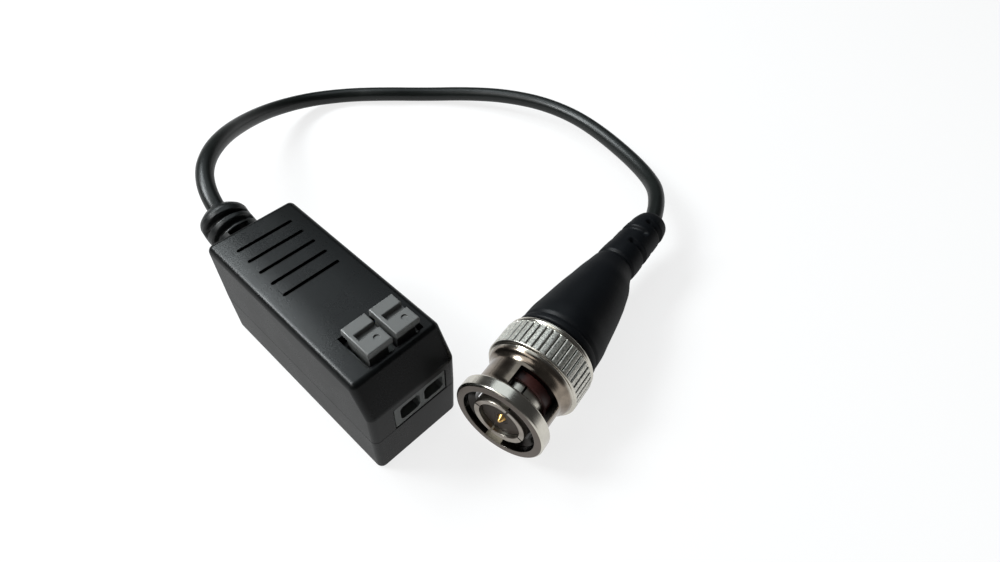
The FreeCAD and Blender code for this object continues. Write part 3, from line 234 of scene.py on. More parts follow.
def turnedNickel(name, kind):
    # reach along the plug's axis and distance from it place the turning lines, the grain, and the painted
    # shade and painted reflections on the knurl's grooves, the neck, the rim's face, the bore and the
    # contact's tip
    look = nickelSettings
    plate, knurl, groove, neck, face, bore, contact, paintedTipReflection = (look[key] for key in (
        "plate", "knurl", "groove", "neck", "face", "bore", "contact", "paintedTipReflection"))
    finish = Finish(name)
    start = plugAxis["start"] * mm
    cosine, sine = np.cos(-plugAngle), np.sin(-plugAngle)
    shift = (-(cosine * start[0] - sine * start[1]), -(sine * start[0] + cosine * start[1]), -start[2])
    here = finish.place(shift, (0, 0, -plugAngle))
    reach, wide, high = (finish.part(here, axis) * perMetre for axis in "XYZ")
    radius = (high * high + wide * wide) ** 0.5
    slow = finish.noise(here, look["patchScale"], look["patchDetail"], look["noiseRough"])
    stretched = finish.node("Mapping", values={"Vector": here, "Scale": look["lineStretch"]})
    lines = finish.noise(stretched, 1.0, look["lineDetail"], look["lineRough"])
    grain = finish.noise(here, look["grainScale"], look["grainDetail"], look["noiseRough"])
    shade = finish.mottle(slow.over(*plate["patches"]), plate["color"], *plate["tones"])
    rough = (slow - middle) * look["patchSpread"] + (lines - middle) * look["lineSpread"] + look["rough"]
    normal = finish.bump(lines, look["lineDepth"])
    if kind == "sleeve":
        onKnurl = reach.between(*knurl["reach"]) * radius.over(*knurl["radius"])
        ribs = finish.mottle(grain.over(*knurl["patches"]), knurl["color"], *knurl["tones"])
        # painted shade: below the ribs' crests the knurl's grooves take a dark colour
        ribs = finish.blend(radius.over(*groove["radius"]), tinted(groove["color"]), ribs)
        shade = finish.blend(onKnurl, shade, ribs)
        rough = rough + onKnurl * knurl["rough"]
        normal = finish.bump(grain * onKnurl, knurl["depth"], normal)
        # painted reflection: the neck is darkened in brownish patches, standing for a dark case mirrored in
        # it
        paintedNeckReflection = finish.mottle(slow.over(*neck["patches"]), neck["color"], *neck["tones"])
        shade = finish.blend(reach.between(*neck["reach"]), shade, paintedNeckReflection)
        # painted reflection: the rim's front face is coloured dark brown in place of what it mirrors
        paintedFaceReflection = (1 - reach.over(*face["reach"])) * radius.over(*face["radius"])
        shade = finish.blend(paintedFaceReflection, shade, finish.mottle(slow, face["color"], *face["tones"]))
        # painted shade: the bore's inside is coloured nearly black
        paintedBoreShade = (1 - radius.over(*bore["radius"])) * (1 - reach.over(*bore["reach"]))
        shade = finish.blend(paintedBoreShade, shade, tinted(bore["color"]))
    else:
        rough = rough + contact["rough"]
        normal = finish.bump(grain, contact["depth"], normal)
        # painted reflection: the contact's tip is darkened in patches in place of the dark surroundings it
        # mirrors
        onTip = 1 - reach.over(*paintedTipReflection["reach"])
        share = slow.over(*paintedTipReflection["patches"]) * paintedTipReflection["spread"] + paintedTipReflection["least"]
        shade = finish.blend(onTip * share, shade, tinted(paintedTipReflection["color"]))
    return finish.shader(color=shade, metal=1.0, rough=rough, normal=normal)


finishes = {
    "housing": plastic("housingBlack", (0.0032, 0.0037, 0.0038), 0.29, depth=0.0082, gloss=0.38,
                       crown=0.0095),
    "terminal": plastic("terminalGrey", (0.1, 0.104, 0.1), 0.45, gloss=0.5),
    "lever": plastic("leverGrey", (0.112, 0.113, 0.109), 0.3, depth=0.003, drift=0.06),
    "relief": plastic("reliefRubber", (0.005, 0.006, 0.006), 0.36, grain=3000, gloss=0.62),
    "cord": plastic("cordJacket", (0.0048, 0.0062, 0.0056), 0.34, grain=3200, depth=0.003, gloss=0.62),
    "boot": plastic("bootVinyl", (0.0026, 0.0033, 0.0044), 0.46, grain=3600, depth=0.006, gloss=0.3),
    "insulator": plastic("insulatorResin", (0.05, 0.04, 0.033), 0.45, drift=0.2, gloss=0.35),
    "gasket": plastic("gasketSilicone", (0.035, 0.009, 0.0075), 0.42),
    "board": plastic("boardMask", (0.012, 0.09, 0.035), 0.3, grain=1800),
    "carrier": plastic("coreCarrier", (0.03, 0.03, 0.03), 0.5),
    "ferrite": plastic("ferriteCore", (0.035, 0.037, 0.04), 0.6, grain=2400, depth=0.01),
    "film": plastic("filmBox", (0.45, 0.06, 0.03), 0.35),
    "disc": plastic("discDip", (0.05, 0.13, 0.36), 0.25),
    "ceramic": plastic("arresterCeramic", (0.62, 0.6, 0.55), 0.2),
    "resistor": plastic("resistorCoat", (0.02, 0.02, 0.022), 0.3),
    "lineWire": metal("lineEnamel", (0.62, 0.26, 0.09), 0.3),
    "cameraWire": metal("cameraEnamel", (0.45, 0.12, 0.05), 0.3),
    "copper": metal("bareCopper", (0.78, 0.4, 0.24), 0.3),
    "braid": metal("tinnedBraid", (0.62, 0.6, 0.55), 0.4, grain=1400, depth=0.04),
    "strip": metal("tinnedStrip", (0.7, 0.68, 0.62), 0.28),
    "spring": metal("springSteel", (0.6, 0.59, 0.57), 0.25),
    "solder": metal("solderTin", (0.68, 0.69, 0.7), 0.3),
    "sleeveNickel": turnedNickel("sleeveNickel", "sleeve"),
    "nickel": turnedNickel("contactNickel", "contact"),
    "gold": metal("goldPlate", (0.74, 0.46, 0.16), 0.38),
}
nodeFinish = {
    "circuit_board": "board", "contact_strip_left": "strip", "contact_strip_right": "strip",
    "clamp_spring_left": "spring", "clamp_spring_right": "spring", "core_carrier": "carrier",
    "balun_core": "ferrite", "line_winding": "lineWire", "camera_winding": "cameraWire",
    "film_capacitor": "film", "disc_capacitor": "disc", "surge_arrester": "ceramic",
    "chip_resistors": "resistor", "solder_joints": "solder", "coax_case_end": "cord",
    "cord_core_wire": "copper", "cord_braid_tail": "braid", "face_gasket": "gasket",
    "connector_body": "nickel", "spring_washer": "spring", "thrust_washer": "strip",
    "retaining_clip": "spring", "crimp_ferrule": "strip", "crimped_braid": "braid",
    "plug_dielectric": "insulator", "coax_plug_end": "cord"}
for name, finishName in nodeFinish.items():
    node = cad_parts[name]
    node.data.materials.clear()
    node.data.materials.append(finishes[finishName])
print("finishes made:", len(finishes))


def addPiece(name, mesh, finish, body, stands=()):   # a new piece with the finish, joined to its body, with the nodes it stands for hidden
    piece = bpy.data.objects.new(name, mesh)
    scene.collection.objects.link(piece)
    mesh.materials.clear()
    mesh.materials.append(finishes[finish])
    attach(piece, body)
    if stands:
        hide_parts(*stands)
    return piece


def meshOf(name, points, faces, sharp=38):      # points in millimetres, the sharp angle in degrees
    mesh = bpy.data.meshes.new(name)
    mesh.from_pydata((points.reshape(-1, 3) * mm).tolist(), [], faces.tolist())
    work = bmesh.new()
    work.from_mesh(mesh)
    bmesh.ops.remove_doubles(work, verts=work.verts, dist=mergeDistance)
    bmesh.ops.recalc_face_normals(work, faces=work.faces)
    work.to_mesh(mesh)
    work.free()
    mesh.shade_smooth()
    mesh.set_sharp_from_angle(angle=np.radians(sharp))
    return mesh


# Cord: the solid's route from the relief's mouth, in metres; its last points lead into the boot as the
# photograph shows
cordSettings = {"diameter": 0.003, "length": 0.1551, "order": 3, "stepsAlong": 20, "stepsRound": 8, "route": [
    (-0.03025, -0.000087, 0.013009), (-0.035821, 0.000499, 0.01516), (-0.0446, 0.0079, 0.0147),
    (-0.0572, 0.0222, 0.0072), (-0.0611, 0.035, 0.0028), (-0.058, 0.0444, 0.0015), (-0.0514, 0.0509, 0.002),
    (-0.0451, 0.0581, 0.0016), (-0.0377, 0.0643, 0.0025), (-0.0294, 0.0688, 0.0038),
    (-0.0197, 0.0721, 0.0046), (-0.0085, 0.0726, 0.0049), (0.0086, 0.0678, 0.0056),
    (0.0173, 0.0607, 0.00755), (0.0201, 0.053, 0.00755)]}


def makeCord():
    # a quadratic curve led by the route's points, with a round section of the cord's diameter
    route = cordSettings["route"]
    line = bpy.data.curves.new("coaxCord", "CURVE")
    line.dimensions = "3D"
    line.resolution_u = cordSettings["stepsAlong"]
    line.bevel_depth = cordSettings["diameter"] / 2
    line.bevel_resolution = cordSettings["stepsRound"]
    line.use_fill_caps = True
    spline = line.splines.new("NURBS")
    spline.points.add(len(route) - 1)
    spline.points.foreach_set("co", np.hstack([route, np.ones((len(route), 1))]).ravel())
    spline.order_u = cordSettings["order"]
    spline.use_endpoint_u = True
    spline.use_smooth = True
    line.materials.append(finishes["cord"])
    cord = bpy.data.objects.new("coaxCord", line)
    scene.collection.objects.link(cord)
    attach(cord, "case")
    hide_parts("coax_cord")
    return cord


cord = makeCord()
print("cord laid")

# Case, terminal and levers keep the solids' own form, with the tool's small radii on their edges: piece, then
# node, finish, body and radius in millimetres; the merging distance in metres, angles in degrees
caseSettings = {"merge": 2e-7, "flat": 0.4, "sharp": 32, "segments": 2, "evenWeight": 100, "pieces": {
    "caseTop": ("top_shell", "housing", "case", 0.12), "caseTray": ("bottom_shell", "housing", "case", 0.14),
    "wireTerminal": ("terminal_block", "terminal", "case", 0.07),
    "pushLeverLeft": ("push_lever_left", "lever", "push_lever_left", 0.07),
    "pushLeverRight": ("push_lever_right", "lever", "push_lever_right", 0.07)}}


def softCopy(name, node, finish, body, edge):
    # the solid's mesh, merged, its flats made whole, and its sharp edges rounded off by the radius
    sharp, flat = np.radians(caseSettings["sharp"]), np.radians(caseSettings["flat"])
    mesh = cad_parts[node].data.copy()
    work = bmesh.new()
    work.from_mesh(mesh)
    bmesh.ops.remove_doubles(work, verts=work.verts, dist=caseSettings["merge"])
    bmesh.ops.dissolve_limit(work, angle_limit=flat, verts=work.verts, edges=work.edges)
    work.to_mesh(mesh)
    work.free()
    mesh.shade_smooth()
    mesh.set_sharp_from_angle(angle=sharp)
    piece = addPiece(name, mesh, finish, body, [node])
    bevel = piece.modifiers.new("softEdges", "BEVEL")
    bevel.width = edge * mm
    bevel.segments = caseSettings["segments"]
    bevel.limit_method = "ANGLE"
    bevel.angle_limit = sharp
    bevel.use_clamp_overlap = True
    even = piece.modifiers.new("evenShade", "WEIGHTED_NORMAL")
    even.keep_sharp = True
    even.weight = caseSettings["evenWeight"]


for name, (node, finish, body, edge) in caseSettings["pieces"].items():
    softCopy(name, node, finish, body, edge)
print("case, terminal and levers made")


# Half sections are lists of corners: radius, reach and, where it differs from the rest, the rounding. That
# takes no more than a share of each side, and guard points keep what is left of the sides straight
cornerSettings = {"share": 0.4, "guardShare": 0.45, "guardAway": 1.5}


def softCorners(corners, rounding=0.08, steps=3, closed=True):
    # every corner becomes the quadratic curve start (1 - t)^2 + corner 2 t (1 - t) + end t^2
    share, guardShare, guardAway = (cornerSettings[key] for key in ("share", "guardShare", "guardAway"))
    spots = [np.array(corner[:2], float) for corner in corners]
    line = []
    for k, corner in enumerate(spots):
        if not closed and k in (0, len(spots) - 1):
            line.append(corner[None])
            continue
        before, after = spots[k - 1] - corner, spots[(k + 1) % len(spots)] - corner
        lengths = np.linalg.norm(before), np.linalg.norm(after)
        wanted = corners[k][2] if len(corners[k]) > 2 else rounding
        cut = min(wanted, share * lengths[0], share * lengths[1])
        start, end = corner + before / lengths[0] * cut, corner + after / lengths[1] * cut
        t = np.linspace(0, 1, steps + 1)[:, None]
        arc = (1 - t) ** 2 * start + 2 * t * (1 - t) * corner + t ** 2 * end
        ahead = corner + before / lengths[0] * min(guardAway * cut, guardShare * lengths[0])
        behind = corner + after / lengths[1] * min(guardAway * cut, guardShare * lengths[1])
        line += [ahead[None], arc, behind[None]]
    return np.vstack(line)


def turnedGrid(section, angles, radius=None):
    # a point at radius r and reach u goes to start + back u + (down cos angle + aside sin angle) r
    r = section[:, 0, None] + np.zeros(len(angles)) if radius is None else radius
    u = section[:, 1, None]
    across = plugAxis["down"] * np.cos(angles)[:, None] + plugAxis["aside"] * np.sin(angles)[:, None]
    return plugAxis["start"] + u[..., None] * plugAxis["back"] + r[..., None] * across[None]


def gridFaces(rows, columns, closedRows=True, keep=None):
    # one quad between each four neighbours, round both ways where the section is closed
    i, j = np.meshgrid(np.arange(rows if closedRows else rows - 1), np.arange(columns), indexing="ij")
    nextI, nextJ = (i + 1) % rows, (j + 1) % columns
    faces = np.stack([i * columns + j, nextI * columns + j, nextI * columns + nextJ, i * columns + nextJ], -1)
    return faces.reshape(-1, 4) if keep is None else faces[keep]


def cutWalls(columns, outer, inner, first, last, openStart=False):
    # the walls of a cut through a turned wall: two sides along the axis, and one or two ends round it
    walls = []
    for column in (first, last):
        walls.append(np.stack([outer[:-1] * columns + column, outer[1:] * columns + column,
                               inner[1:] * columns + column, inner[:-1] * columns + column], -1))
    span = np.arange(first, last) % columns
    for k in ([-1] if openStart else [0, -1]):
        walls.append(np.stack([outer[k] * columns + span, outer[k] * columns + (span + 1) % columns,
                               inner[k] * columns + (span + 1) % columns, inner[k] * columns + span], -1))
    return np.vstack(walls)


def windowedFaces(rows, columns, outer, inner, firsts, width):
    # the grid's quads less each window's, in the outer and the inner rows, and the walls of the windows
    keep = np.ones((rows, columns), bool)
    walls = []
    for first in firsts:
        for path in (outer, inner):
            keep[np.minimum(path[:-1], path[1:])[:, None], np.arange(first, first + width) % columns] = False
        walls.append(cutWalls(columns, outer, inner, first, first + width))
    return np.vstack([gridFaces(rows, columns, True, keep)] + walls)


def turned(name, corners, finish, stands=(), segments=96, closed=True):
    # the rounded half section turned once round the plug's axis
    section = softCorners(corners, closed=closed)
    angles = np.linspace(0, 2 * np.pi, segments, endpoint=False)
    mesh = meshOf(name, turnedGrid(section, angles), gridFaces(len(section), segments, closed))
    return addPiece(name, mesh, finish, "case", stands)


# Coupling sleeve: a rim, a neck with two lug windows, a flare, a knurl and a rear rim; angles are in degrees
sleeveSettings = {"columns": 528, "ribs": 44, "ribDepth": 0.26, "ribShare": 0.14, "ribPower": 0.8,
                  "ribFrom": 8.62, "ribTo": 12.92, "ribFade": 0.2, "ribRadius": 7.2,
                  "windowColumns": 125, "windowStart": -5.1, "windowFrom": 2.3, "windowTo": 6.3,
                  "windowRows": 9, "entryFrom": -4.7, "entryTo": 20.7, "entryRadius": 6.55,
                  "mouthRadius": 5.9, "boreRadius": 4.95,
                  "neck": ((2.3, 2.6, 5.4, 6.3), (6.25, 6.0, 6.0, 6.02)), "rounding": 0.06,
                  "front": [(4.95, 1.7), (5.7, 0.9), (5.85, 0.0), (6.95, 0, 0.06), (7.2, 0.25, 0.1),
                            (7.2, 1.95, 0.1), (6.95, 2.2, 0.06), (6.4, 2.27)],
                  "rear": [(6.02, 6.5), (6.05, 6.8, 0.2), (6.35, 7.3, 0.3), (6.85, 7.75, 0.3),
                           (6.98, 8.4, 0.1), (7.36, 8.46, 0.05), (7.5, 8.6, 0.06), (7.5, 8.85, 0.01),
                           (7.5, 10.0, 0.01), (7.5, 12.7, 0.01), (7.5, 12.95, 0.05), (7.12, 13.08, 0.06),
                           (7.12, 13.2, 0.05), (7.35, 13.42, 0.1), (7.35, 13.75, 0.1), (7.2, 13.9, 0.06),
                           (4.4, 13.9, 0.1), (4.4, 12.9, 0.1), (6.3, 12.9), (6.3, 8.8), (4.95, 8.8),
                           (4.95, 6.6)]}


def makeSleeve():
    # the half section turned round the axis; a groove of the knurl takes its depth times a power of
    # (1 - distance / share) off the radius, and two windows open the neck, each with a wider bore before it
    sizes = sleeveSettings
    columns = sizes["columns"]
    angles = np.radians(sizes["windowStart"]) + np.linspace(0, 2 * np.pi, columns, endpoint=False)
    steps = np.linspace(sizes["windowFrom"], sizes["windowTo"], sizes["windowRows"])
    front = softCorners(sizes["front"], sizes["rounding"], closed=False)
    rear = softCorners(sizes["rear"], sizes["rounding"], closed=False)
    neck = np.stack([np.interp(steps, *sizes["neck"]), steps], -1)
    bore = np.stack([np.full(len(steps), sizes["boreRadius"]), steps[::-1]], -1)
    section = np.vstack([front, neck, rear, bore])
    outer = len(front) + np.arange(len(steps))
    inner = (len(front) + len(neck) + len(rear) + np.arange(len(steps)))[::-1]
    reach = section[:, 1]
    phase = (angles * sizes["ribs"] / (2 * np.pi)) % 1 - 0.5
    groove = np.clip(1 - np.abs(phase) / sizes["ribShare"], 0, 1) ** sizes["ribPower"]
    rising = np.clip((reach - sizes["ribFrom"]) / sizes["ribFade"], 0, 1)
    falling = np.clip((sizes["ribTo"] - reach) / sizes["ribFade"], 0, 1)
    knurled = np.where(section[:, 0] > sizes["ribRadius"], rising * falling, 0)
    radius = section[:, 0, None] - knurled[:, None] * groove * sizes["ribDepth"]
    degrees = np.degrees(angles)
    inEntry = np.zeros(columns, bool)
    for turn in (0, 180):
        inEntry |= (degrees > sizes["entryFrom"] + turn) & (degrees < sizes["entryTo"] + turn)
    mouth = (section[:, 0] < sizes["mouthRadius"]) & (reach < sizes["windowFrom"])
    mouth[inner[0]] = True
    radius = np.where(mouth[:, None] & inEntry, sizes["entryRadius"], radius)
    faces = windowedFaces(len(section), columns, outer, inner, (0, columns // 2), sizes["windowColumns"])
    mesh = meshOf("couplingSleeve", turnedGrid(section, angles, radius), faces)
    return addPiece("couplingSleeve", mesh, "sleeveNickel", "coupling_sleeve", ["coupling_sleeve"])


sleeve = makeSleeve()

# Spring contact: a thin tube with four slots from its tip; slot in columns of the grid, turn in degrees
contactSettings = {"columns": 240, "slots": 4, "slot": 3, "turn": 18, "sharp": 45, "rounding": 0.06,
                   "rearOutside": [(4.2, 7.28), (4.2, 6.4)], "rearInside": [(3.65, 6.4), (3.65, 7.28)],
                   "outside": [(4.2, 5.6), (4.2, 4.4), (4.2, 3.2), (4.2, 2.0), (4.2, 0.8)],
                   "tip": [(4.2, 0.4), (4.12, 0.1, 0.1), (3.32, 0.16, 0.08), (3.28, 0.5)],
                   "inside": [(3.28, 0.8), (3.28, 2.0), (3.65, 3.2), (3.65, 4.4), (3.65, 5.6)]}


def makeContact():
    # the half section turned round the axis, with the quads of each slot left out and the slot's sides closed
    sizes = contactSettings
    columns = sizes["columns"]
    angles = np.radians(sizes["turn"]) + (np.arange(columns) - sizes["slot"] // 2) * 2 * np.pi / columns
    tip = softCorners(sizes["tip"], sizes["rounding"], closed=False)
    section = np.vstack([sizes["rearOutside"], sizes["outside"], tip, sizes["inside"], sizes["rearInside"]])
    slotEnd = len(sizes["rearOutside"])
    tipStart = slotEnd + len(sizes["outside"])
    outer = np.arange(slotEnd, tipStart + len(tip) // 2)[::-1]
    inner = np.arange(tipStart + (len(tip) + 1) // 2, tipStart + len(tip) + len(sizes["inside"]))
    keep = np.ones((len(section), columns), bool)
    walls = []
    for k in range(sizes["slots"]):
        first = k * columns // sizes["slots"]
        last = first + sizes["slot"]
        keep[outer[-1]:inner[-1], first:last] = False
        walls.append(cutWalls(columns, outer, inner, first, last, True))
    faces = np.vstack([gridFaces(len(section), columns, True, keep)] + walls)
    mesh = meshOf("springContact", turnedGrid(section, angles), faces, sizes["sharp"])
    return addPiece("springContact", mesh, "nickel", "case", ["outer_contact"])


contact = makeContact()

# Plain turned pieces inside the contact, and the face gasket's skirt round it
turnedSettings = {
    "insulator": [(0.71, 0.95), (1.1, 0.95), (1.2, 0.87), (3.2, 0.87, 0.05), (3.25, 1.6), (3.25, 10.2),
                  (0.71, 10.2)],
    "pin": [(0, 0.2), (0.22, 0.2, 0.08), (0.66, 1.05, 0.2), (0.68, 1.4), (0.68, 13.0, 0.1), (0, 13.0)],
    "skirt": [(4.24, 4.85), (4.8, 4.85, 0.15), (4.86, 5.2, 0.1), (4.86, 7.25), (4.24, 7.25)]}
turned("contactInsulator", turnedSettings["insulator"], "insulator", ["front_insulator"])
turned("centrePin", turnedSettings["pin"], "gold", ["centre_pin"], segments=48, closed=False)
turned("gasketSkirt", turnedSettings["skirt"], "gasket")
print("plug made")

bendSteps = 700                                 # samples along a bent axis


def bentGrid(section, angles, axis, radius):
    # a point at reach u sits at line(u) + (first cos angle + second sin angle) r, and the line turns evenly
    # from one heading to the next
    places = [place for place, way in axis["headings"]]
    turns = np.array([way for place, way in axis["headings"]])
    reach = np.linspace(0, places[-1], bendSteps)
    ways = np.stack([np.interp(reach, places, turns[:, k]) for k in range(3)], -1)
    ways /= np.linalg.norm(ways, axis=1)[:, None]
    steps = (ways[1:] + ways[:-1]) / 2 * np.diff(reach)[:, None]
    line = axis["start"] + np.vstack([[0, 0, 0], np.cumsum(steps, 0)])
    u = section[:, 1]
    centre = np.stack([np.interp(u, reach, line[:, k]) for k in range(3)], -1)
    way = np.stack([np.interp(u, reach, ways[:, k]) for k in range(3)], -1)
    first = axis["across"] - (way @ axis["across"])[:, None] * way
    first /= np.linalg.norm(first, axis=1)[:, None]
    second = np.cross(way, first)
    across = np.cos(angles)[None, :, None] * first[:, None] + np.sin(angles)[None, :, None] * second[:, None]
    return centre[:, None] + radius[..., None] * across


def denser(section, step):
    # splits each run of a closed section into equal parts no longer than the step
    runs = np.roll(section, -1, 0) - section
    parts = np.maximum(1, np.ceil(np.linalg.norm(runs, axis=1) / step)).astype(int)
    owner = np.repeat(np.arange(len(section)), parts)
    share = np.concatenate([np.arange(n) / n for n in parts])
    return section[owner] + runs[owner] * share[:, None]


def heading(degrees, lift=0.0):                 # a unit vector from its turn in the plan and its lift
    flat, up = np.radians(degrees), np.radians(lift)
    return (np.cos(flat) * np.cos(up), np.sin(flat) * np.cos(up), np.sin(up))


def cutGrooves(radius, reach, angles, settings, skin=1.0):
    # each groove takes its depth times exp(-(distance / width)^4) off the radius near its reach, in full on
    # the two sides that its turn faces and, past a smooth step, not at all on the two between
    for place, turn in settings["grooves"]:
        across = np.abs(np.cos(angles - np.radians(turn)))
        share = np.clip((across - settings["grooveFrom"]) / settings["grooveFade"], 0, 1)
        cut = np.exp(-((reach - place) / settings["grooveWidth"]) ** 4) * skin
        radius -= settings["grooveDepth"] * cut[:, None] * share * share * (3 - 2 * share)


# Boot: a lip behind the knurl, a smooth cone over the crimp, a ring, and a tail with half grooves, set a
# little aside; each groove has its reach and its turn in degrees
bootSettings = {"columns": 144, "rounding": 0.1, "cornerSteps": 4, "step": 0.16, "sharp": 50,
                "grooves": ((39.3, 240), (42.5, 150), (45.3, 240)), "grooveDepth": 0.62, "grooveWidth": 0.5,
                "grooveFrom": 0.42, "grooveFade": 0.25, "skinRadius": 2.6, "skinFrom": 34,
                "aside": ((28, 31, 32, 33, 34, 35, 36, 40, 42, 44, 46, 48.2),
                          (0, 0.15, 0.27, 0.45, 0.6, 0.66, 0.63, 0.55, 0.55, 0.5, 0.35, 0.2)),
                "axis": {"start": plugAxis["start"], "across": plugAxis["down"],
                         "headings": [(0, heading(99.9)), (28, heading(99.9)), (34, heading(96.5)),
                                      (40.5, heading(97.5)), (46.5, heading(100)), (50, heading(100))]},
                "section": [(4.0, 14.55), (6.3, 14.55, 0.15), (6.78, 14.85, 0.25), (6.78, 15.6, 0.25),
                            (6.4, 15.85, 0.15), (6.4, 16.1, 0.15), (6.66, 16.5, 0.4), (6.6, 18.6, 0.8),
                            (6.3, 20.5, 1.0), (5.65, 25.5, 2.0), (4.62, 31.0, 1.0), (4.0, 33.0, 0.8),
                            (3.58, 34.7, 0.4), (3.22, 35.2, 0.15), (3.6, 35.6, 0.15), (3.6, 37.0, 0.9),
                            (3.42, 40.0, 1.0), (3.33, 43.0, 1.0), (3.12, 46.4, 0.9), (2.75, 48.0, 0.7),
                            (1.95, 48.9, 0.4), (1.52, 48.9, 0.05), (1.52, 43.0), (1.52, 24.2, 0.1),
                            (2.95, 24.1, 0.1), (2.95, 16.1, 0.1), (4.0, 16.05, 0.1)]}


def makeBoot():
    # the half section turned round the bent axis, less the half grooves, then moved aside by reach
    sizes = bootSettings
    section = denser(softCorners(sizes["section"], sizes["rounding"], sizes["cornerSteps"]), sizes["step"])
    angles = np.linspace(0, 2 * np.pi, sizes["columns"], endpoint=False)
    radius = section[:, 0, None] + np.zeros(len(angles))
    skin = (section[:, 0] > sizes["skinRadius"]) & (section[:, 1] > sizes["skinFrom"])
    cutGrooves(radius, section[:, 1], angles, sizes, skin)
    points = bentGrid(section, angles, sizes["axis"], radius)
    points += np.interp(section[:, 1], *sizes["aside"])[:, None, None] * plugAxis["aside"]
    mesh = meshOf("plugBoot", points, gridFaces(len(section), len(angles)), sizes["sharp"])
    return addPiece("plugBoot", mesh, "boot", "case", ["plug_boot"])


boot = makeBoot()

# Strain relief: a flange on the rear wall, an open cage, and a bell with half grooves that follows the
# cord; the span of a window and the turns are in degrees
reliefSettings = {"columns": 160, "windows": 4, "windowFrom": 4.0, "windowTo": 6.3, "windowRows": 9,
                  "windowSpan": 52, "cageRadius": 3.95, "insideRadius": 3.15, "sharp": 45,
                  "skinFrom": 6.35, "skinTo": 10.5, "skinRows": 70,
                  "skin": ((6.3, 8, 10.5), (3.95, 4.02, 3.98)),
                  "grooves": ((7.15, -17), (9.15, -17)), "grooveDepth": 0.95, "grooveWidth": 0.42,
                  "grooveFrom": 0.18, "grooveFade": 0.42,
                  "axis": {"start": np.array([-18.55, 0, 9.0]), "across": np.array([0.31, 0, 0.95]),
                           "headings": [(0, (-1, 0, 0)), (0.3, heading(183, 18)), (7.9, heading(183, 18)),
                                        (9.6, heading(174, 21)), (16, heading(174, 21))]},
                  "collar": [(1.52, 0.3), (3.1, 0.3), (4.1, 0.12, 0.1), (4.3, 0.35, 0.15), (4.25, 1.3, 0.3),
                             (3.9, 1.8, 0.4), (3.9, 2.5, 0.5), (3.95, 3.9, 0.1)],
                  "mouth": [(3.96, 10.55), (3.75, 11.1, 0.4), (2.9, 11.9, 0.6), (2.1, 12.45, 0.4),
                            (1.52, 12.5, 0.1), (1.52, 10.0), (1.52, 6.7, 0.1), (3.1, 6.6, 0.1), (3.15, 6.35)],
                  "end": [(3.15, 3.95), (3.1, 3.6, 0.1), (1.52, 3.5, 0.1), (1.52, 1.0)]}


def makeRelief():
    # the half section turned round the bent axis, less the bell's half grooves and the cage's windows
    sizes = reliefSettings
    columns = sizes["columns"]
    halfSpan = int(round(sizes["windowSpan"] / 360 * columns / 2))
    angles = (np.arange(columns) - halfSpan) * 2 * np.pi / columns
    steps = np.linspace(sizes["windowFrom"], sizes["windowTo"], sizes["windowRows"])
    reach = np.linspace(sizes["skinFrom"], sizes["skinTo"], sizes["skinRows"])
    collar = softCorners(sizes["collar"], rounding=0.2, steps=4, closed=False)
    cage = np.stack([np.full(len(steps), sizes["cageRadius"]), steps], -1)
    skin = np.stack([np.interp(reach, *sizes["skin"]), reach], -1)
    mouth = softCorners(sizes["mouth"], rounding=0.2, steps=5, closed=False)
    inside = np.stack([np.full(len(steps), sizes["insideRadius"]), steps[::-1]], -1)
    end = softCorners(sizes["end"], rounding=0.1, steps=3, closed=False)
    section = np.vstack([collar, cage, skin, mouth, inside, end])
    radius = section[:, 0, None] + np.zeros(columns)
    skinStart = len(collar) + len(cage)
    cutGrooves(radius[skinStart:skinStart + len(skin)], reach, angles, sizes)
    outer = len(collar) + np.arange(len(steps))
    inner = (skinStart + len(skin) + len(mouth) + np.arange(len(steps)))[::-1]
    firsts = [k * columns // sizes["windows"] for k in range(sizes["windows"])]
    faces = windowedFaces(len(section), columns, outer, inner, firsts, 2 * halfSpan)
    mesh = meshOf("strainRelief", bentGrid(section, angles, sizes["axis"], radius), faces, sizes["sharp"])
    return addPiece("strainRelief", mesh, "relief", "case", ["strain_relief"])


relief = makeRelief()
print("boot and strain relief made")

# Table and light: a white table, a broad panel overhead, a strong narrow one behind the rear, a small one
# that catches the case's long edge and a weak one at the side; turns and lifts in degrees, sizes in metres
stageSettings = {
    "floor": 0.93, "floorDrift": 0.02, "floorScale": 30, "floorDetail": 3, "floorRough": 0.9,
    "floorLevel": 0.2, "shown": 0.8, "half": 0.9, "below": 2e-5,
    "room": 0.06, "horizon": 0.6, "horizonFade": 3.4, "lights": {
        "overhead": {"turn": 140, "lift": 62, "away": 0.75, "size": (0.55, 0.55), "radiance": 1.25,
                     "color": (0.86, 0.95, 1)},
        "rear": {"turn": 190, "lift": 50, "away": 0.5, "size": (0.24, 0.13), "radiance": 16.5,
                 "color": (0.91, 0.98, 1)},
        "edge": {"turn": 218, "lift": 44, "away": 0.5, "size": (0.13, 0.13), "radiance": 36,
                 "color": (0.94, 0.98, 1)},
        "side": {"turn": 250, "lift": 45, "away": 0.5, "size": (0.3, 0.25), "radiance": 2.2,
                 "color": (1, 0.99, 0.97)}}}


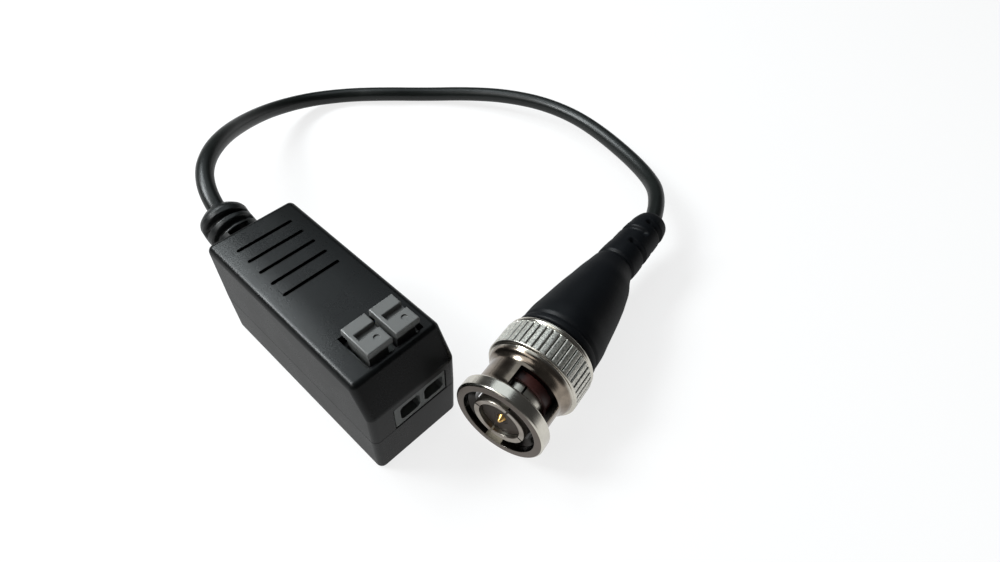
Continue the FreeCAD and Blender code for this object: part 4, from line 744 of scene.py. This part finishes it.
def addTable():                                 # shown nearly white, yet it takes the shadows
    finish = Finish("tableWhite")
    floor = stageSettings["floor"]
    drift = finish.noise(finish.place(), stageSettings["floorScale"], stageSettings["floorDetail"])
    shade = finish.mottle(drift, (1, 1, 1), floor, floor + stageSettings["floorDrift"])
    sockets = {"Base Color": shade, "Roughness": stageSettings["floorRough"],
               "Specular IOR Level": stageSettings["floorLevel"]}
    surface = finish.node("BsdfPrincipled", values=sockets)
    white = finish.node("Emission", values={"Color": tinted((1, 1, 1)), "Strength": 1.0})
    seen = sum(finish.node("LightPath", out=kind)
               for kind in ("Is Camera Ray", "Is Glossy Ray", "Is Transmission Ray")).math("MINIMUM", 1.0)
    mixed = finish.node("MixShader", values={0: seen * stageSettings["shown"], 1: surface, 2: white})
    finish.node("OutputMaterial", values={"Surface": mixed})
    mesh = bpy.data.meshes.new("table")
    half, level = stageSettings["half"], -stageSettings["below"]
    corners = [(-half, -half, level), (half, -half, level), (half, half, level), (-half, half, level)]
    mesh.from_pydata(corners, [], [(0, 1, 2, 3)])
    mesh.materials.append(finish.material)
    table = bpy.data.objects.new("table", mesh)
    scene.collection.objects.link(table)


def lightRoom():                                # pale at the level of the table, dim overhead
    scene.world = bpy.data.worlds.new("room")
    room = Finish("room", scene.world)
    height = room.part(room.node("TexCoord", out="Generated"), "Z").math("ABSOLUTE")
    low = (1 - height * stageSettings["horizonFade"]).math("MAXIMUM", 0.0)
    dim, pale = (tinted((stageSettings[key],) * 3) for key in ("room", "horizon"))
    glow = room.blend(low * low, dim, pale)
    light = room.node("Background", values={"Color": glow, "Strength": 1.0})
    room.node("OutputWorld", values={"Surface": light})


def addLamps():                                 # a lamp's energy is its radiance times pi times its area
    for name, light in stageSettings["lights"].items():
        lamp = bpy.data.lights.new(name, "AREA")
        lamp.shape = "RECTANGLE"
        lamp.color = light["color"]
        lamp.size, lamp.size_y = light["size"]
        lamp.energy = light["radiance"] * np.pi * light["size"][0] * light["size"][1]
        spot = Vector(heading(light["turn"], light["lift"])) * light["away"]
        holder = bpy.data.objects.new(name, lamp)
        scene.collection.objects.link(holder)
        holder.matrix_world = Matrix.Translation(spot) @ spot.to_track_quat("Z", "Y").to_matrix().to_4x4()


addTable()
lightRoom()
addLamps()
print("table and lights set")
